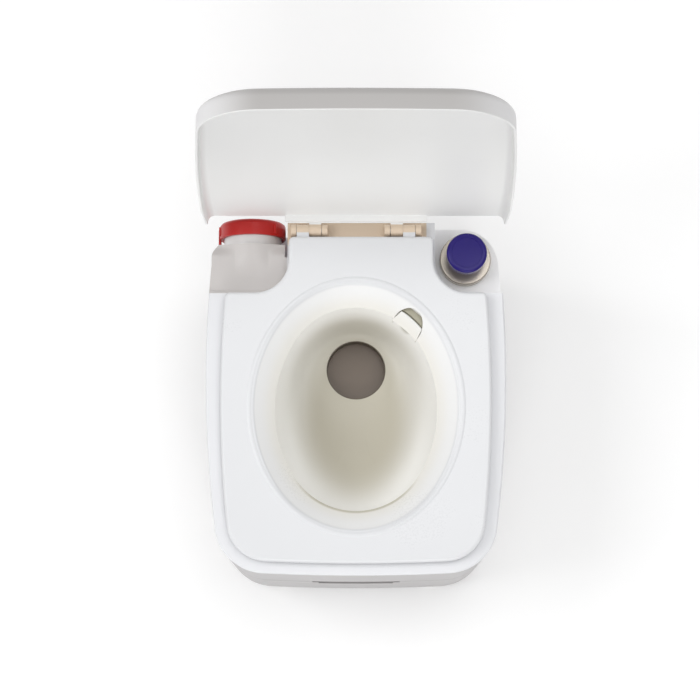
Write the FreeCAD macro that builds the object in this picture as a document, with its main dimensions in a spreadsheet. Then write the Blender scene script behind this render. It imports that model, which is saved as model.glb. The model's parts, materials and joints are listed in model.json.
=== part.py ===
import FreeCAD, Part
import math
import os
import re
import Sketcher

# Driving dimensions of the portable toilet, in millimetres and degrees.
# X runs to the user's left and right, the front is at -Y and the floor is Z = 0.
# The middle is that of the whole part with its lid open, so the tanks lie ahead of it.
SIZES = [
    ("front_half_width", 165, "half width at the front corners, before rounding"),
    ("rear_half_width", 174, "half width at the rear corners, before rounding"),
    ("tank_front", 243, "front corners ahead of the middle"),
    ("tank_rear", 189, "rear face behind the middle"),
    ("side_bow", 1520, "radius of the bowed sides"),
    ("front_bow", 2270, "radius of the bowed front"),
    ("front_corner", 62, "rounding of the front corners"),
    ("rear_corner", 48, "rounding of the rear corners"),
    ("wall", 3.5, "tank wall"),
    ("shell_wall", 3, "wall of the bowl, the pockets and the lid"),
    ("tank_edge", 5, "rounding along the edges of the tanks"),
    ("foot_height", 6, "rubber feet below the tank"),
    ("foot_radius", 15, "rubber foot"),
    ("foot_spread", 97, "feet from the middle line"),
    ("foot_front", 230, "front feet ahead of the middle"),
    ("foot_rear", 160, "rear feet behind the middle"),
    ("waste_height", 154, "waste tank"),
    ("shelf_front", 131, "front wall of the shelf at the back of the waste tank"),
    ("shelf_height", 92, "shelf above the underside of the waste tank"),
    ("pan_height", 136, "pan of the flush tank"),
    ("deck_thickness", 7, "edge of the deck"),
    ("seat_lift", 1.5, "seat above the deck, on its bumpers"),
    ("seat_thickness", 16.5, "seat"),
    ("seat_inset", 13, "seat inside the edge of the deck"),
    ("seat_edge", 4, "rounding along the top of the seat"),
    ("seat_rim", 6, "wall round the hollow below the seat"),
    ("seat_rib", 2.5, "ribs in that hollow"),
    ("seat_rib_pitch", 60, "ribs of the seat, one to the next"),
    ("seat_gap", 2, "seat to the pocket walls"),
    ("lid_gap", 8, "closed lid above the seat"),
    ("lid_overhang", 3, "lid past the tank all round"),
    ("lid_lift", 1, "closed lid skirt above the deck"),
    ("lid_rear", 173, "rear edge of the lid behind the middle"),
    ("lid_rear_half_width", 183, "half width inside the lid at its rear edge"),
    ("lid_side_bow", 3000, "radius of the bowed sides of the lid"),
    ("lid_edge", 14, "rounding along the edge of the lid"),
    ("lid_open", 96, "angle of the open lid"),
    ("lid_tip", 14, "lid skirt at its rear tips"),
    ("lid_tip_length", 90, "length over which the lid skirt runs out"),
    ("pocket_front", 100, "front wall of the rear pockets"),
    ("pocket_corner", 40, "rounded inner corner of the pockets"),
    ("pocket_depth", 41, "pocket floor below the deck"),
    ("filler_room", 45, "left pocket wall to the filler axis"),
    ("pump_room", 39, "right pocket wall to the pump axis"),
    ("notch_front", 146, "wall behind which the filler cap sits"),
    ("shoulder_drop", 5, "filler shoulder below the deck"),
    ("notch_depth", 89, "filler notch floor below the deck"),
    ("hole_rear", 109, "rear edge of the seat opening"),
    ("hole_front", 196, "front edge of the seat opening"),
    ("hole_rear_radius", 115, "rear arc of the seat opening"),
    ("hole_front_radius", 115, "front arc of the seat opening"),
    ("hole_side_radius", 184, "side arcs of the seat opening"),
    ("flange_slope", 26, "inward run of the sloped seat flange"),
    ("flange_drop", 8, "seat flange below the deck"),
    ("flange_notch", 20, "notch in the flange over the flush nozzle"),
    ("flange_notch_drop", 6, "middle of that notch below the deck"),
    ("bowl_rim", 12, "bowl rim inside the seat opening"),
    ("bowl_upper_drop", 41, "upper bowl section below the deck"),
    ("bowl_upper_inset", 28, "upper bowl section inside the seat opening"),
    ("bowl_lower_drop", 98, "lower bowl section below the deck"),
    ("basin_rear", 76, "rear of the lower bowl section"),
    ("basin_front", 114, "front of the lower bowl section"),
    ("basin_rear_radius", 76, "rear arc of the lower bowl section"),
    ("basin_front_radius", 52, "front arc of the lower bowl section"),
    ("basin_side_radius", 110, "side arcs of the lower bowl section"),
    ("outlet_y", 23, "bowl outlet behind the middle"),
    ("outlet_radius", 37, "bore of the bowl outlet"),
    ("outlet_rise", 10, "bowl floor above the pan floor at the outlet"),
    ("spigot_drop", 5, "outlet spigot below the pan"),
    ("spigot_wall", 3, "wall of the outlet spigot"),
    ("outlet_seal_wall", 3, "rubber ring round the outlet spigot"),
    ("rail_width", 9, "valve channel past the blade at each side"),
    ("channel_depth", 16, "valve channel below the top of the waste tank"),
    ("channel_rear", 78, "rear end of the valve channel"),
    ("valve_length", 107, "valve frame along the channel"),
    ("valve_base_height", 5.5, "valve frame below the blade"),
    ("blade_thickness", 3, "valve blade"),
    ("blade_play", 0.5, "valve blade to the frame above and below"),
    ("blade_half_width", 47, "valve blade from the middle line"),
    ("blade_overlap", 9, "valve blade past the outlet bore"),
    ("rail_play", 0.8, "valve blade to its side rails"),
    ("valve_seal_wall", 4, "width of the valve seal"),
    ("valve_seal_depth", 2.5, "depth of the valve seal groove"),
    ("arm_half_width", 16, "valve arm from the middle line"),
    ("handle_half_width", 50, "valve handle from the middle line"),
    ("handle_depth", 22, "valve handle front to back"),
    ("handle_height", 12, "valve handle"),
    ("handle_recess", 1, "valve handle behind the tank front"),
    ("scoop_half_width", 48, "finger scoop below the valve handle, from the middle line"),
    ("scoop_length", 38, "finger scoop behind the tank front"),
    ("scoop_depth", 20, "finger scoop below the valve channel"),
    ("screw_radius", 2, "valve screw shank"),
    ("screw_head", 3.6, "valve screw head"),
    ("screw_length", 9, "valve screw below its head"),
    ("screw_head_height", 1.6, "valve screw head height"),
    ("knuckle_radius", 7, "hinge knuckle"),
    ("hinge_rise", 1, "hinge knuckles above the deck"),
    ("hinge_y", 177, "hinge axis behind the middle"),
    ("hinge_margin", 27, "middle of each hinge inside the left pocket wall"),
    ("knuckle_width", 15, "hinge knuckle along the axis"),
    ("knuckle_play", 0.5, "gap between hinge knuckles"),
    ("lug_width", 7, "hinge lug along the axis"),
    ("pin_radius", 3, "hinge pin"),
    ("pin_play", 0.06, "hinge pin running clearance"),
    ("tongue_rear", 168, "rear edge of the seat tongue"),
    ("bumper_radius", 8, "rubber bumpers below the seat"),
    ("bumper_spread", 140, "bumpers from the middle line"),
    ("bumper_front", 160, "front bumpers ahead of the middle"),
    ("bumper_rear", 60, "rear bumpers behind the middle"),
    ("bumper_recess", 2, "bumpers set into the seat"),
    ("pump_inset", 37, "pump inside the rear corner of the tanks"),
    ("pump_y", 148, "pump behind the middle"),
    ("barrel_bore", 21, "pump barrel bore"),
    ("barrel_wall", 3, "pump barrel wall"),
    ("barrel_floor", 4, "pump barrel floor"),
    ("barrel_lift", 6, "pump barrel above the pan floor"),
    ("barrel_flange", 29, "pump barrel flange"),
    ("barrel_flange_height", 4, "pump barrel flange thickness"),
    ("collar_radius", 32, "pump collar"),
    ("collar_height", 13, "pump collar"),
    ("collar_wall", 2.5, "pump collar wall"),
    ("knob_radius", 25, "pump knob"),
    ("knob_height", 15, "pump knob"),
    ("knob_rise", 28, "pump knob above the collar at rest"),
    ("knob_wall", 3, "pump knob wall"),
    ("knob_edge", 3, "rounding along the top of the pump knob"),
    ("plunger_radius", 15, "pump plunger tube"),
    ("plunger_wall", 2.5, "pump plunger tube wall"),
    ("plunger_play", 0.4, "pump plunger to the collar"),
    ("piston_height", 10, "pump piston"),
    ("piston_play", 0.6, "pump piston to the barrel"),
    ("ring_play", 0.06, "piston ring running clearance"),
    ("ring_depth", 2.5, "piston ring groove depth"),
    ("ring_height", 3, "piston ring"),
    ("spring_length", 58, "pump spring at rest"),
    ("spring_radius", 14, "pump spring, middle of the wire"),
    ("spring_wire", 1.1, "pump spring wire radius"),
    ("spring_turns", 8, "pump spring turns"),
    ("spring_runs", 12, "straight runs in one spring turn"),
    ("strainer_radius", 22, "intake strainer"),
    ("strainer_slots", 8, "slots round the intake strainer"),
    ("intake_bore", 6, "pump intake hole"),
    ("hose_radius", 5, "flush hose"),
    ("hose_bore", 3.5, "flush hose bore"),
    ("hose_bend", 14, "bends of the flush hose"),
    ("hose_low", 12, "hose outlet above the barrel floor"),
    ("hose_run", 38, "first run of the flush hose"),
    ("hose_play", 1, "flush hose short of its stops"),
    ("nipple_length", 14, "hose nipple on the barrel"),
    ("nozzle_drop", 19, "flush nozzle below the deck"),
    ("nozzle_radius", 8, "flush nozzle"),
    ("nozzle_length", 30, "flush nozzle"),
    ("nozzle_reach", 88, "flush nozzle from the pump axis"),
    ("nozzle_grip", 6, "flush hose inside the nozzle"),
    ("nozzle_x", 74, "flush nozzle aim from the middle line"),
    ("nozzle_y", 72, "flush nozzle aim behind the middle"),
    ("filler_inset", 44, "filler inside the rear corner of the tanks"),
    ("filler_drop", 41, "filler axis below the deck"),
    ("neck_radius", 36, "filler neck"),
    ("neck_wall", 4, "filler neck wall"),
    ("neck_length", 42, "filler neck behind its wall"),
    ("cap_radius", 41.5, "filler cap"),
    ("cap_skirt", 30, "filler cap along its axis"),
    ("cap_play", 1, "filler cap round its neck"),
    ("cap_end", 4, "filler cap end wall"),
    ("cap_ribs", 12, "grip ribs round the filler cap"),
    ("cap_rib", 1.5, "height of the grip ribs"),
    ("gasket_height", 3, "filler and spout gaskets"),
    ("spout_inset", 34, "pour spout pivot inside the rear corner of the tanks"),
    ("spout_y", 160, "pour spout pivot behind the middle"),
    ("spout_radius", 21, "pour spout tube"),
    ("spout_wall", 3, "pour spout wall"),
    ("spout_bend", 26, "pour spout bend"),
    ("spout_length", 92, "pour spout past its bend"),
    ("spout_lift", 2, "pour spout above the shelf"),
    ("spout_collar", 26, "pour spout swivel ring"),
    ("spout_grip", 6, "pour spout swivel ring height"),
    ("spout_play", 0.3, "pour spout running clearance"),
    ("spout_cap_radius", 25.5, "pour spout cap"),
    ("spout_cap_length", 22, "pour spout cap along its axis"),
    ("spout_cap_wall", 3, "pour spout cap wall"),
    ("spout_cap_play", 0.8, "pour spout cap round the tube"),
    ("vent_x", 70, "vent button from the middle line"),
    ("vent_radius", 9, "vent button"),
    ("vent_height", 18, "vent button"),
    ("vent_stem", 4, "vent button stem"),
    ("vent_stroke", 4, "vent button travel"),
    ("vent_play", 0.3, "vent button running clearance"),
    ("vent_wall", 2.5, "vent sleeve wall"),
    ("vent_wire", 0.5, "vent spring wire radius"),
    ("vent_turns", 3, "vent spring turns"),
    ("latch_y", -20, "latch pivot behind the middle"),
    ("latch_drop", 14, "latch pivot below the top of the waste tank"),
    ("latch_length", 50, "latch from its pivot to its tip"),
    ("latch_width", 14, "latch arm"),
    ("latch_thickness", 7, "latch across its arm"),
    ("latch_toe", 14, "latch toe past the arm"),
    ("latch_toe_width", 9, "latch toe"),
    ("latch_pin", 4, "latch pin"),
    ("latch_face_in", 0.5, "latch recess floor past the mean of the corner widths"),
    ("latch_margin", 5, "room round the latch in its recess"),
    ("latch_lift", 0.5, "latch off the recess floor"),
    ("catch_radius", 4, "catch stud for the latch"),
    ("catch_play", 1, "catch stud to the closed latch"),
]

doc = FreeCAD.newDocument("portable_toilet")
sheet = doc.addObject("Spreadsheet::Sheet", "sizes")
for row, (alias, size, meaning) in enumerate(SIZES, 1):
    sheet.set(f"A{row}", meaning)
    sheet.set(f"B{row}", str(size))
    sheet.setAlias(f"B{row}", alias)
doc.recompute()

# Heights and places that several pieces share, as formulas of the sizes.
WASTE_TOP = "(foot_height + waste_height)"
SHELF_TOP = "(foot_height + shelf_height)"
PAN_FLOOR = f"({WASTE_TOP} + wall)"
PAN_TOP = f"({WASTE_TOP} + pan_height)"
DECK_TOP = f"({PAN_TOP} + deck_thickness)"
SEAT_UNDER = f"({DECK_TOP} + seat_lift)"
SEAT_TOP = f"({SEAT_UNDER} + seat_thickness)"
HINGE_Z = f"({DECK_TOP} + hinge_rise + knuckle_radius)"
POCKET_FLOOR = f"({DECK_TOP} - pocket_depth)"
NOTCH_FLOOR = f"({DECK_TOP} - notch_depth)"
CHANNEL_FLOOR = f"({WASTE_TOP} - channel_depth)"
BLADE_UNDER = f"({CHANNEL_FLOOR} + valve_base_height + blade_play)"
COVER_UNDER = f"({BLADE_UNDER} + blade_thickness + blade_play)"
COLLAR_TOP = f"({POCKET_FLOOR} + collar_height)"
KNOB_UNDER = f"({COLLAR_TOP} + knob_rise)"
BARREL_BASE = f"({PAN_FLOOR} + barrel_lift)"
SPRING_BASE = f"({BARREL_BASE} + barrel_floor)"
PISTON_UNDER = f"({SPRING_BASE} + spring_length)"
HOSE_LOW = f"({SPRING_BASE} + hose_low)"
NOZZLE_Z = f"({DECK_TOP} - nozzle_drop)"
FILLER_Z = f"({DECK_TOP} - filler_drop)"
SPOUT_Z = f"({SHELF_TOP} + spout_lift + spout_grip + spout_bend)"
LATCH_Z = f"({WASTE_TOP} - latch_drop)"
LATCH_FACE = "((front_half_width + rear_half_width) / 2 + latch_face_in)"
PUMP_X = "(rear_half_width - pump_inset)"
FILLER_X = "(rear_half_width - filler_inset)"
SPOUT_X = "(rear_half_width - spout_inset)"
SPOUT_END = f"(spout_bend + spout_length - {SPOUT_X})"
LEFT_WALL = f"({FILLER_X} - filler_room)"
RIGHT_WALL = f"({PUMP_X} - pump_room)"
HINGE_X = f"({LEFT_WALL} - hinge_margin)"
CHANNEL_SIDE = "(blade_half_width + rail_width)"
FAR = "(2 * tank_front)"


def bound(formula):
    """Points every size named in a formula at its cell of the sheet."""
    return re.sub(r"\b[a-z]\w*\b(?!\()", lambda word: "sizes." + word.group(), str(formula))


def number(formula):
    """Gives a formula's value."""
    return float(sheet.evalExpression(bound(formula)))


def place(item, x="0", y="0", z="0", axis=None, angle="0"):
    """Sets a document object's place and turn from formulas."""
    if axis:
        item.Placement = FreeCAD.Placement(FreeCAD.Vector(), FreeCAD.Rotation(FreeCAD.Vector(*axis), 1))
        item.setExpression("Placement.Rotation.Angle", bound(angle))
    for letter, formula in zip("xyz", (x, y, z)):
        item.setExpression(f"Placement.Base.{letter}", bound(formula))
    return item


def new_body(name):
    return doc.addObject("PartDesign::Body", name)


def new_sketch(body, plane="XY_Plane", offset="0"):
    """Starts a sketch on one of the body's own planes, moved along its normal."""
    sketch = body.newObject("Sketcher::SketchObject", body.Name + "_sketch")
    support = next(item for item in body.Origin.OriginFeatures if item.Role == plane)
    sketch.AttachmentSupport = [(support, "")]
    sketch.MapMode = "FlatFace"
    sketch.setExpression("AttachmentOffset.Base.z", bound(offset))
    return sketch


def dimension(sketch, kind, formula, *where):
    """Adds one driving dimension and binds it to its formula."""
    index = sketch.addConstraint(Sketcher.Constraint(kind, *where, number(formula)))
    sketch.setExpression(f"Constraints[{index}]", bound(formula))


def draw(sketch, corners, bows=None):
    """Draws a closed outline, anticlockwise, whose corners are pairs of formulas.

    bows gives the radius of each edge, by its number, that bows outwards.
    """
    bows = bows or {}
    points = [FreeCAD.Vector(number(x), number(y), 0) for x, y in corners]
    edges = []
    for index, start in enumerate(points):
        end = points[(index + 1) % len(points)]
        if index not in bows:
            edges.append(sketch.addGeometry(Part.LineSegment(start, end), False))
            continue
        radius = number(bows[index])
        chord = end - start
        inward = FreeCAD.Vector(-chord.y, chord.x, 0) / chord.Length
        centre = (start + end) / 2 + inward * math.sqrt(radius ** 2 - chord.Length ** 2 / 4)
        angles = [math.atan2(point.y - centre.y, point.x - centre.x) for point in (start, end)]
        circle = Part.Circle(centre, FreeCAD.Vector(0, 0, 1), radius)
        edges.append(sketch.addGeometry(Part.ArcOfCircle(circle, *angles), False))
    for index, edge in enumerate(edges):
        following = edges[(index + 1) % len(edges)]
        sketch.addConstraint(Sketcher.Constraint("Coincident", edge, 2, following, 1))
    for index, (edge, (x, y)) in enumerate(zip(edges, corners)):
        dimension(sketch, "DistanceX", x, -1, 1, edge, 1)
        dimension(sketch, "DistanceY", y, -1, 1, edge, 1)
        if index in bows:
            dimension(sketch, "Radius", bows[index], edge)
    return sketch


def draw_circle(sketch, x, y, radius):
    """Draws a circle at a centre given by formulas."""
    centre = FreeCAD.Vector(number(x), number(y), 0)
    edge = sketch.addGeometry(Part.Circle(centre, FreeCAD.Vector(0, 0, 1), number(radius)), False)
    dimension(sketch, "DistanceX", x, -1, 1, edge, 3)
    dimension(sketch, "DistanceY", y, -1, 1, edge, 3)
    dimension(sketch, "Radius", radius, edge)
    return sketch


def draw_ring(sketch, x, y, radius):
    """Draws a circle as four arcs that part where those of an egg do."""
    rear_x, rear_y = f"{radius} * cos(15)", f"{y} + {radius} * sin(15)"
    front_x, front_y = f"{radius} * cos(45)", f"{y} - {radius} * sin(45)"
    corners = [(f"{x} + {front_x}", front_y), (f"{x} + {rear_x}", rear_y), (f"{x} - {rear_x}", rear_y),
               (f"{x} - {front_x}", front_y)]
    return draw(sketch, corners, dict.fromkeys(range(4), radius))


def draw_egg(sketch, kind, inset):
    """Draws an egg of four tangent arcs, set in from the sizes whose names start with kind."""
    rear_y = f"({kind}_rear - {kind}_rear_radius)"
    span = f"({rear_y} - {kind}_front_radius + {kind}_front)"
    to_rear = f"({kind}_side_radius - {kind}_rear_radius)"
    to_front = f"({kind}_side_radius - {kind}_front_radius)"
    behind = f"(({to_rear} ^ 2 - {to_front} ^ 2 + {span} ^ 2) / (2 * {span}))"
    beside = f"sqrt({to_rear} ^ 2 - {behind} ^ 2)"
    side = f"({kind}_side_radius - ({inset}))"
    rear_x = f"({side} / {to_rear} - 1) * {beside}"
    front_x = f"({side} / {to_front} - 1) * {beside}"
    rear_end = f"{rear_y} - {behind} + {side} * {behind} / {to_rear}"
    front_end = f"{rear_y} - {behind} + {side} * ({behind} - {span}) / {to_front}"
    corners = [(front_x, front_end), (rear_x, rear_end), (f"-{rear_x}", rear_end),
               (f"-{front_x}", front_end)]
    return draw(sketch, corners, {0: side, 1: f"{kind}_rear_radius - ({inset})", 2: side,
                                  3: f"{kind}_front_radius - ({inset})"})


def draw_outline(sketch, grow="0", rear="tank_rear"):
    """Draws the outline that tanks, deck, seat and lid share, grown or shrunk all round."""
    front = f"(0 - tank_front - ({grow}))"
    front_x = f"(front_half_width + ({grow}))"
    rear_x = f"(rear_half_width + ({grow}))"
    return draw(sketch, [
        (f"-{front_x}", front), (front_x, front), (rear_x, rear), (f"-{rear_x}", rear),
    ], {0: f"front_bow + ({grow})", 1: f"side_bow + ({grow})", 3: f"side_bow + ({grow})"})


def pad(body, sketch, length, kind="Pad", both=False, reverse=False):
    """Adds a pad or a pocket of a sketch."""
    feature = body.newObject("PartDesign::" + kind, body.Name + "_" + kind.lower())
    feature.Profile = sketch
    feature.setExpression("Length", bound(length))
    feature.Midplane = both
    feature.Reversed = reverse
    doc.recompute()
    return feature


def loft(body, sketches, kind="AdditiveLoft"):
    """Adds a loft through sketches, in order."""
    feature = body.newObject("PartDesign::" + kind, body.Name + "_loft")
    feature.Profile = sketches[0]
    feature.Sections = sketches[1:]
    doc.recompute()
    return feature


def soften(body, radius, test, kind="Fillet"):
    """Rounds the edges of the body's last feature that pass a test."""
    base = body.Tip
    names = [f"Edge{index}" for index, edge in enumerate(base.Shape.Edges, 1) if test(edge)]
    if not names:
        raise RuntimeError(f"{body.Name} has no edge to round")
    feature = body.newObject("PartDesign::" + kind, body.Name + "_" + kind.lower())
    feature.Base = (base, names)
    feature.setExpression("Radius" if kind == "Fillet" else "Size", bound(radius))
    doc.recompute()
    return feature


def upright(front=None, rear=None):
    """Picks the vertical edges ahead of one Y, or behind another."""
    def test(edge):
        low, high = edge.BoundBox.ZMin, edge.BoundBox.ZMax
        flat = edge.BoundBox.XLength < 0.01 and edge.BoundBox.YLength < 0.01
        middle = edge.BoundBox.Center.y
        ahead = front is None or middle < number(front)
        behind = rear is None or middle > number(rear)
        return flat and high - low > 1 and ahead and behind
    return test


def at_height(formula):
    """Picks the edges that lie flat at one height."""
    def test(edge):
        box = edge.BoundBox
        return abs(box.ZMin - number(formula)) < 0.01 and abs(box.ZMax - number(formula)) < 0.01
    return test


def tank_block(name, low, high, grow="0", rear="tank_rear"):
    """Makes a body of the shared outline with rounded corners, between two heights."""
    body = new_body(name)
    pad(body, draw_outline(new_sketch(body, offset=low), grow, rear), f"{high} - ({low})")
    soften(body, f"front_corner + ({grow})", upright(front="0"))
    soften(body, f"rear_corner + ({grow})", upright(rear="0"))
    return body


def box(name, x, y, z):
    """Makes a box from pairs of formulas for its sides."""
    item = doc.addObject("Part::Box", name)
    for side, (low, high) in zip(("Length", "Width", "Height"), (x, y, z)):
        item.setExpression(side, bound(f"{high} - ({low})"))
    return place(item, x[0], y[0], z[0])


def cylinder(name, radius, height, x="0", y="0", z="0", axis=None, angle="0"):
    """Makes a cylinder on formulas, along Z before its turn."""
    item = doc.addObject("Part::Cylinder", name)
    item.setExpression("Radius", bound(radius))
    item.setExpression("Height", bound(height))
    return place(item, x, y, z, axis, angle)


def turned(name, profile, x="0", y="0", z="0", axis=None, angle="0"):
    """Makes a turned piece from a half profile of radius and height formulas."""
    body = new_body(name)
    sketch = draw(new_sketch(body, "XZ_Plane"), profile)
    feature = body.newObject("PartDesign::Revolution", name + "_turn")
    feature.Profile = sketch
    feature.ReferenceAxis = (sketch, ["V_Axis"])
    feature.Angle = 360
    doc.recompute()
    place(body, x, y, z, axis, angle)
    return body


def tube(name, inner, outer, low, high, x="0", y="0", z="0", axis=None, angle="0"):
    """Makes a plain turned ring."""
    profile = [(inner, low), (outer, low), (outer, high), (inner, high)]
    return turned(name, profile, x, y, z, axis, angle)


def fuse(name, items):
    joined = doc.addObject("Part::MultiFuse", name)
    joined.Shapes = items
    joined.Refine = True
    return joined


def common(name, items):
    shared = doc.addObject("Part::MultiCommon", name)
    shared.Shapes = items
    return shared


def cut(name, base, tools):
    """Cuts tools out of a base."""
    result = doc.addObject("Part::Cut", name)
    result.Base = base
    result.Tool = tools[0] if len(tools) == 1 else fuse(name + "_tools", tools)
    result.Refine = True
    return result


def shape_feature(name, shape):
    item = doc.addObject("Part::Feature", name)
    item.Shape = shape
    return item


def both_sides(build):
    """Calls a builder for the left and the right side."""
    return [build("left", "-"), build("right", "")]


# Waste tank: a tub and a top welded on below the rear shelf, with a sunk valve channel and latch recesses.
def make_waste_tank():
    outer = tank_block("waste_outer", "foot_height", WASTE_TOP)
    soften(outer, "2 * tank_edge", at_height("foot_height"))
    soften(outer, "tank_edge", at_height(WASTE_TOP))
    floor, ceiling = "(foot_height + wall)", f"({WASTE_TOP} - wall)"
    main_hollow = tank_block("waste_hollow", floor, ceiling, "0 - wall", "(shelf_front - wall)")
    rear_hollow = tank_block("waste_rear_hollow", floor, f"({SHELF_TOP} - wall)", "0 - wall",
                             "(tank_rear - wall)")
    trough = box("channel_walls", (f"-{CHANNEL_SIDE} - wall", f"{CHANNEL_SIDE} + wall"),
                 ("-tank_front + wall", "channel_rear + wall"), (f"{CHANNEL_FLOOR} - wall", WASTE_TOP))
    latch_backs = both_sides(lambda side, sign: latch_block(f"{side}_latch_back", sign, "wall"))
    hollow = cut("waste_inside", fuse("waste_hollows", [main_hollow, rear_hollow]),
                 [trough, scoop_block("scoop_walls", "wall")] + latch_backs)
    shelf = box("shelf_cut", (f"-{FAR}", FAR), ("shelf_front", FAR), (SHELF_TOP, f"{WASTE_TOP} + wall"))
    channel = box("channel_cut", (f"-{CHANNEL_SIDE}", CHANNEL_SIDE),
                  (f"-{FAR}", "channel_rear"),
                  (CHANNEL_FLOOR, f"{WASTE_TOP} + wall"))
    port = cylinder("port_cut", "outlet_radius", "2 * wall + channel_depth", y="outlet_y",
                    z=f"{CHANNEL_FLOOR} - 2 * wall")
    spout_hole = cylinder("spout_cut", "spout_radius + spout_play", "4 * wall", f"-{SPOUT_X}", "spout_y",
                          f"{SHELF_TOP} - 2 * wall")
    vent_hole = cylinder("vent_cut", "vent_radius + vent_wall", "4 * wall", "vent_x", "spout_y",
                         f"{SHELF_TOP} - 2 * wall")
    latch_cuts = both_sides(lambda side, sign: latch_block(f"{side}_latch_cut", sign, "0"))
    scoop = scoop_block("scoop_cut", "0")
    tank = cut("waste_tank", outer,
               [hollow, shelf, channel, scoop, port, spout_hole, vent_hole] + latch_cuts)
    below = box("below_seam", (f"-{FAR}", FAR), (f"-{FAR}", FAR), ("0", f"{SHELF_TOP} - wall"))
    return {"waste_tank_shell": common("waste_tank_shell", [tank, below]),
            "waste_tank_top": cut("waste_tank_top", tank, [below])}


def scoop_block(name, grow):
    """Makes the block of the finger scoop below the valve handle, grown by a wall."""
    side = f"(scoop_half_width + {grow})"
    return box(name, (f"-{side}", side), (f"-{FAR}", f"scoop_length - tank_front + {grow}"),
               (f"{CHANNEL_FLOOR} - scoop_depth - {grow}", WASTE_TOP))


def latch_block(name, sign, grow):
    """Makes the block of a latch recess in both tanks, grown by a wall."""
    near, far = f"({LATCH_FACE} - {grow})", "tank_front"
    x = (near, far) if sign == "" else (f"-{far}", f"-{near}")
    y = (f"latch_y - latch_width / 2 - latch_toe - latch_margin - {grow}",
         f"latch_y + latch_length + latch_margin + {grow}")
    z = (f"{LATCH_Z} - latch_width / 2 - latch_margin - {grow}",
         f"{LATCH_Z} + latch_length + latch_margin + {grow}")
    return box(name, x, y, z)


def make_feet():
    places = [(x, y) for y in ("-foot_front", "foot_rear") for x in ("-foot_spread", "foot_spread")]
    feet = []
    for index, (x, y) in enumerate(places):
        profile = [("0", "0"), ("foot_radius - foot_height / 3", "0"),
                   ("foot_radius", "foot_height / 3"),
                   ("foot_radius", "foot_height"), ("0", "foot_height")]
        feet.append(turned(f"foot_{index}", profile, x, y))
    return fuse("tank_feet", feet)


# Slide valve: frame halves, seal, screws and the blade that is pulled from the front.
VALVE_REAR = "(channel_rear - blade_play)"
VALVE_FRONT = f"({VALVE_REAR} - valve_length)"
VALVE_SIDE = f"({CHANNEL_SIDE} - blade_play)"


def make_valve_base():
    plate = box("valve_plate", (f"-{VALVE_SIDE}", VALVE_SIDE), (VALVE_FRONT, VALVE_REAR),
                (CHANNEL_FLOOR, COVER_UNDER))
    slot = box("valve_slot", ("-blade_half_width - rail_play", "blade_half_width + rail_play"),
               (f"{VALVE_FRONT} - wall", "outlet_y + outlet_radius + blade_overlap + rail_play"),
               (f"{BLADE_UNDER} - blade_play", f"{COVER_UNDER} + wall"))
    bore = cylinder("valve_bore", "outlet_radius", "channel_depth", y="outlet_y",
                    z=f"{CHANNEL_FLOOR} - wall")
    groove = tube("valve_groove", "outlet_radius - wall", "outlet_radius + valve_seal_wall",
                  f"{BLADE_UNDER} - blade_play - valve_seal_depth", COVER_UNDER, y="outlet_y")
    return cut("valve_base", plate, [slot, bore, groove] + valve_screw_holes("base"))


def valve_screw_holes(kind):
    """Makes the four screw holes through the corners of the valve frame."""
    holes = []
    for index, (x, y) in enumerate(valve_screw_places()):
        holes.append(cylinder(f"{kind}_hole_{index}", "screw_radius", "channel_depth", x, y,
                              CHANNEL_FLOOR))
    return holes


def valve_screw_places():
    inset = "screw_head"
    x = f"({VALVE_SIDE} - {inset})"
    return [(side + x, y) for y in (f"({VALVE_FRONT} + 2 * {inset})", f"({VALVE_REAR} - 2 * {inset})")
            for side in ("-", "")]


COVER_TOP = f"({WASTE_TOP} - blade_play)"


def make_valve_cover():
    plate = box("cover_plate", (f"-{VALVE_SIDE}", VALVE_SIDE), (VALVE_FRONT, VALVE_REAR),
                (COVER_UNDER, COVER_TOP))
    mouth = cylinder("cover_mouth", "outlet_radius + spigot_wall + outlet_seal_wall + blade_play",
                     "channel_depth",
                     y="outlet_y", z=f"{COVER_UNDER} - wall")
    sinks = []
    for index, (x, y) in enumerate(valve_screw_places()):
        sinks.append(cylinder(f"cover_sink_{index}", "screw_head + blade_play", "channel_depth", x, y,
                              f"{COVER_TOP} - screw_head_height"))
    return cut("valve_cover", plate, [mouth] + sinks + valve_screw_holes("cover"))


def make_valve_screws():
    screws = []
    head = f"({COVER_TOP} - screw_head_height)"
    for index, (x, y) in enumerate(valve_screw_places()):
        profile = [("0", f"{head} - screw_length"), ("screw_radius", f"{head} - screw_length"),
                   ("screw_radius", head), ("screw_head", head), ("screw_head", COVER_TOP),
                   ("0", COVER_TOP)]
        screws.append(turned(f"valve_screw_{index}", profile, x, y))
    return fuse("valve_screws", screws)


def make_valve_seal():
    return tube("valve_seal", "outlet_radius", "outlet_radius + valve_seal_wall",
                f"{BLADE_UNDER} - blade_play - valve_seal_depth", f"{BLADE_UNDER} - blade_play / 2",
                y="outlet_y")


HANDLE_FRONT = "(handle_recess - tank_front)"


def make_valve_blade():
    rear = "(outlet_y + outlet_radius + blade_overlap)"
    front = "(outlet_y - outlet_radius - blade_overlap)"
    plate = new_body("blade_plate")
    pad(plate, draw(new_sketch(plate, offset=BLADE_UNDER), [
        ("-blade_half_width", front), ("blade_half_width", front), ("blade_half_width", rear),
        ("-blade_half_width", rear)]), "blade_thickness")
    soften(plate, "2 * blade_overlap", upright(rear="outlet_y"))
    arm = box("blade_arm", ("-arm_half_width", "arm_half_width"),
              (f"{HANDLE_FRONT} + handle_depth", front),
              (BLADE_UNDER, f"{BLADE_UNDER} + blade_thickness"))
    return fuse("valve_blade", [plate, arm])


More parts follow.
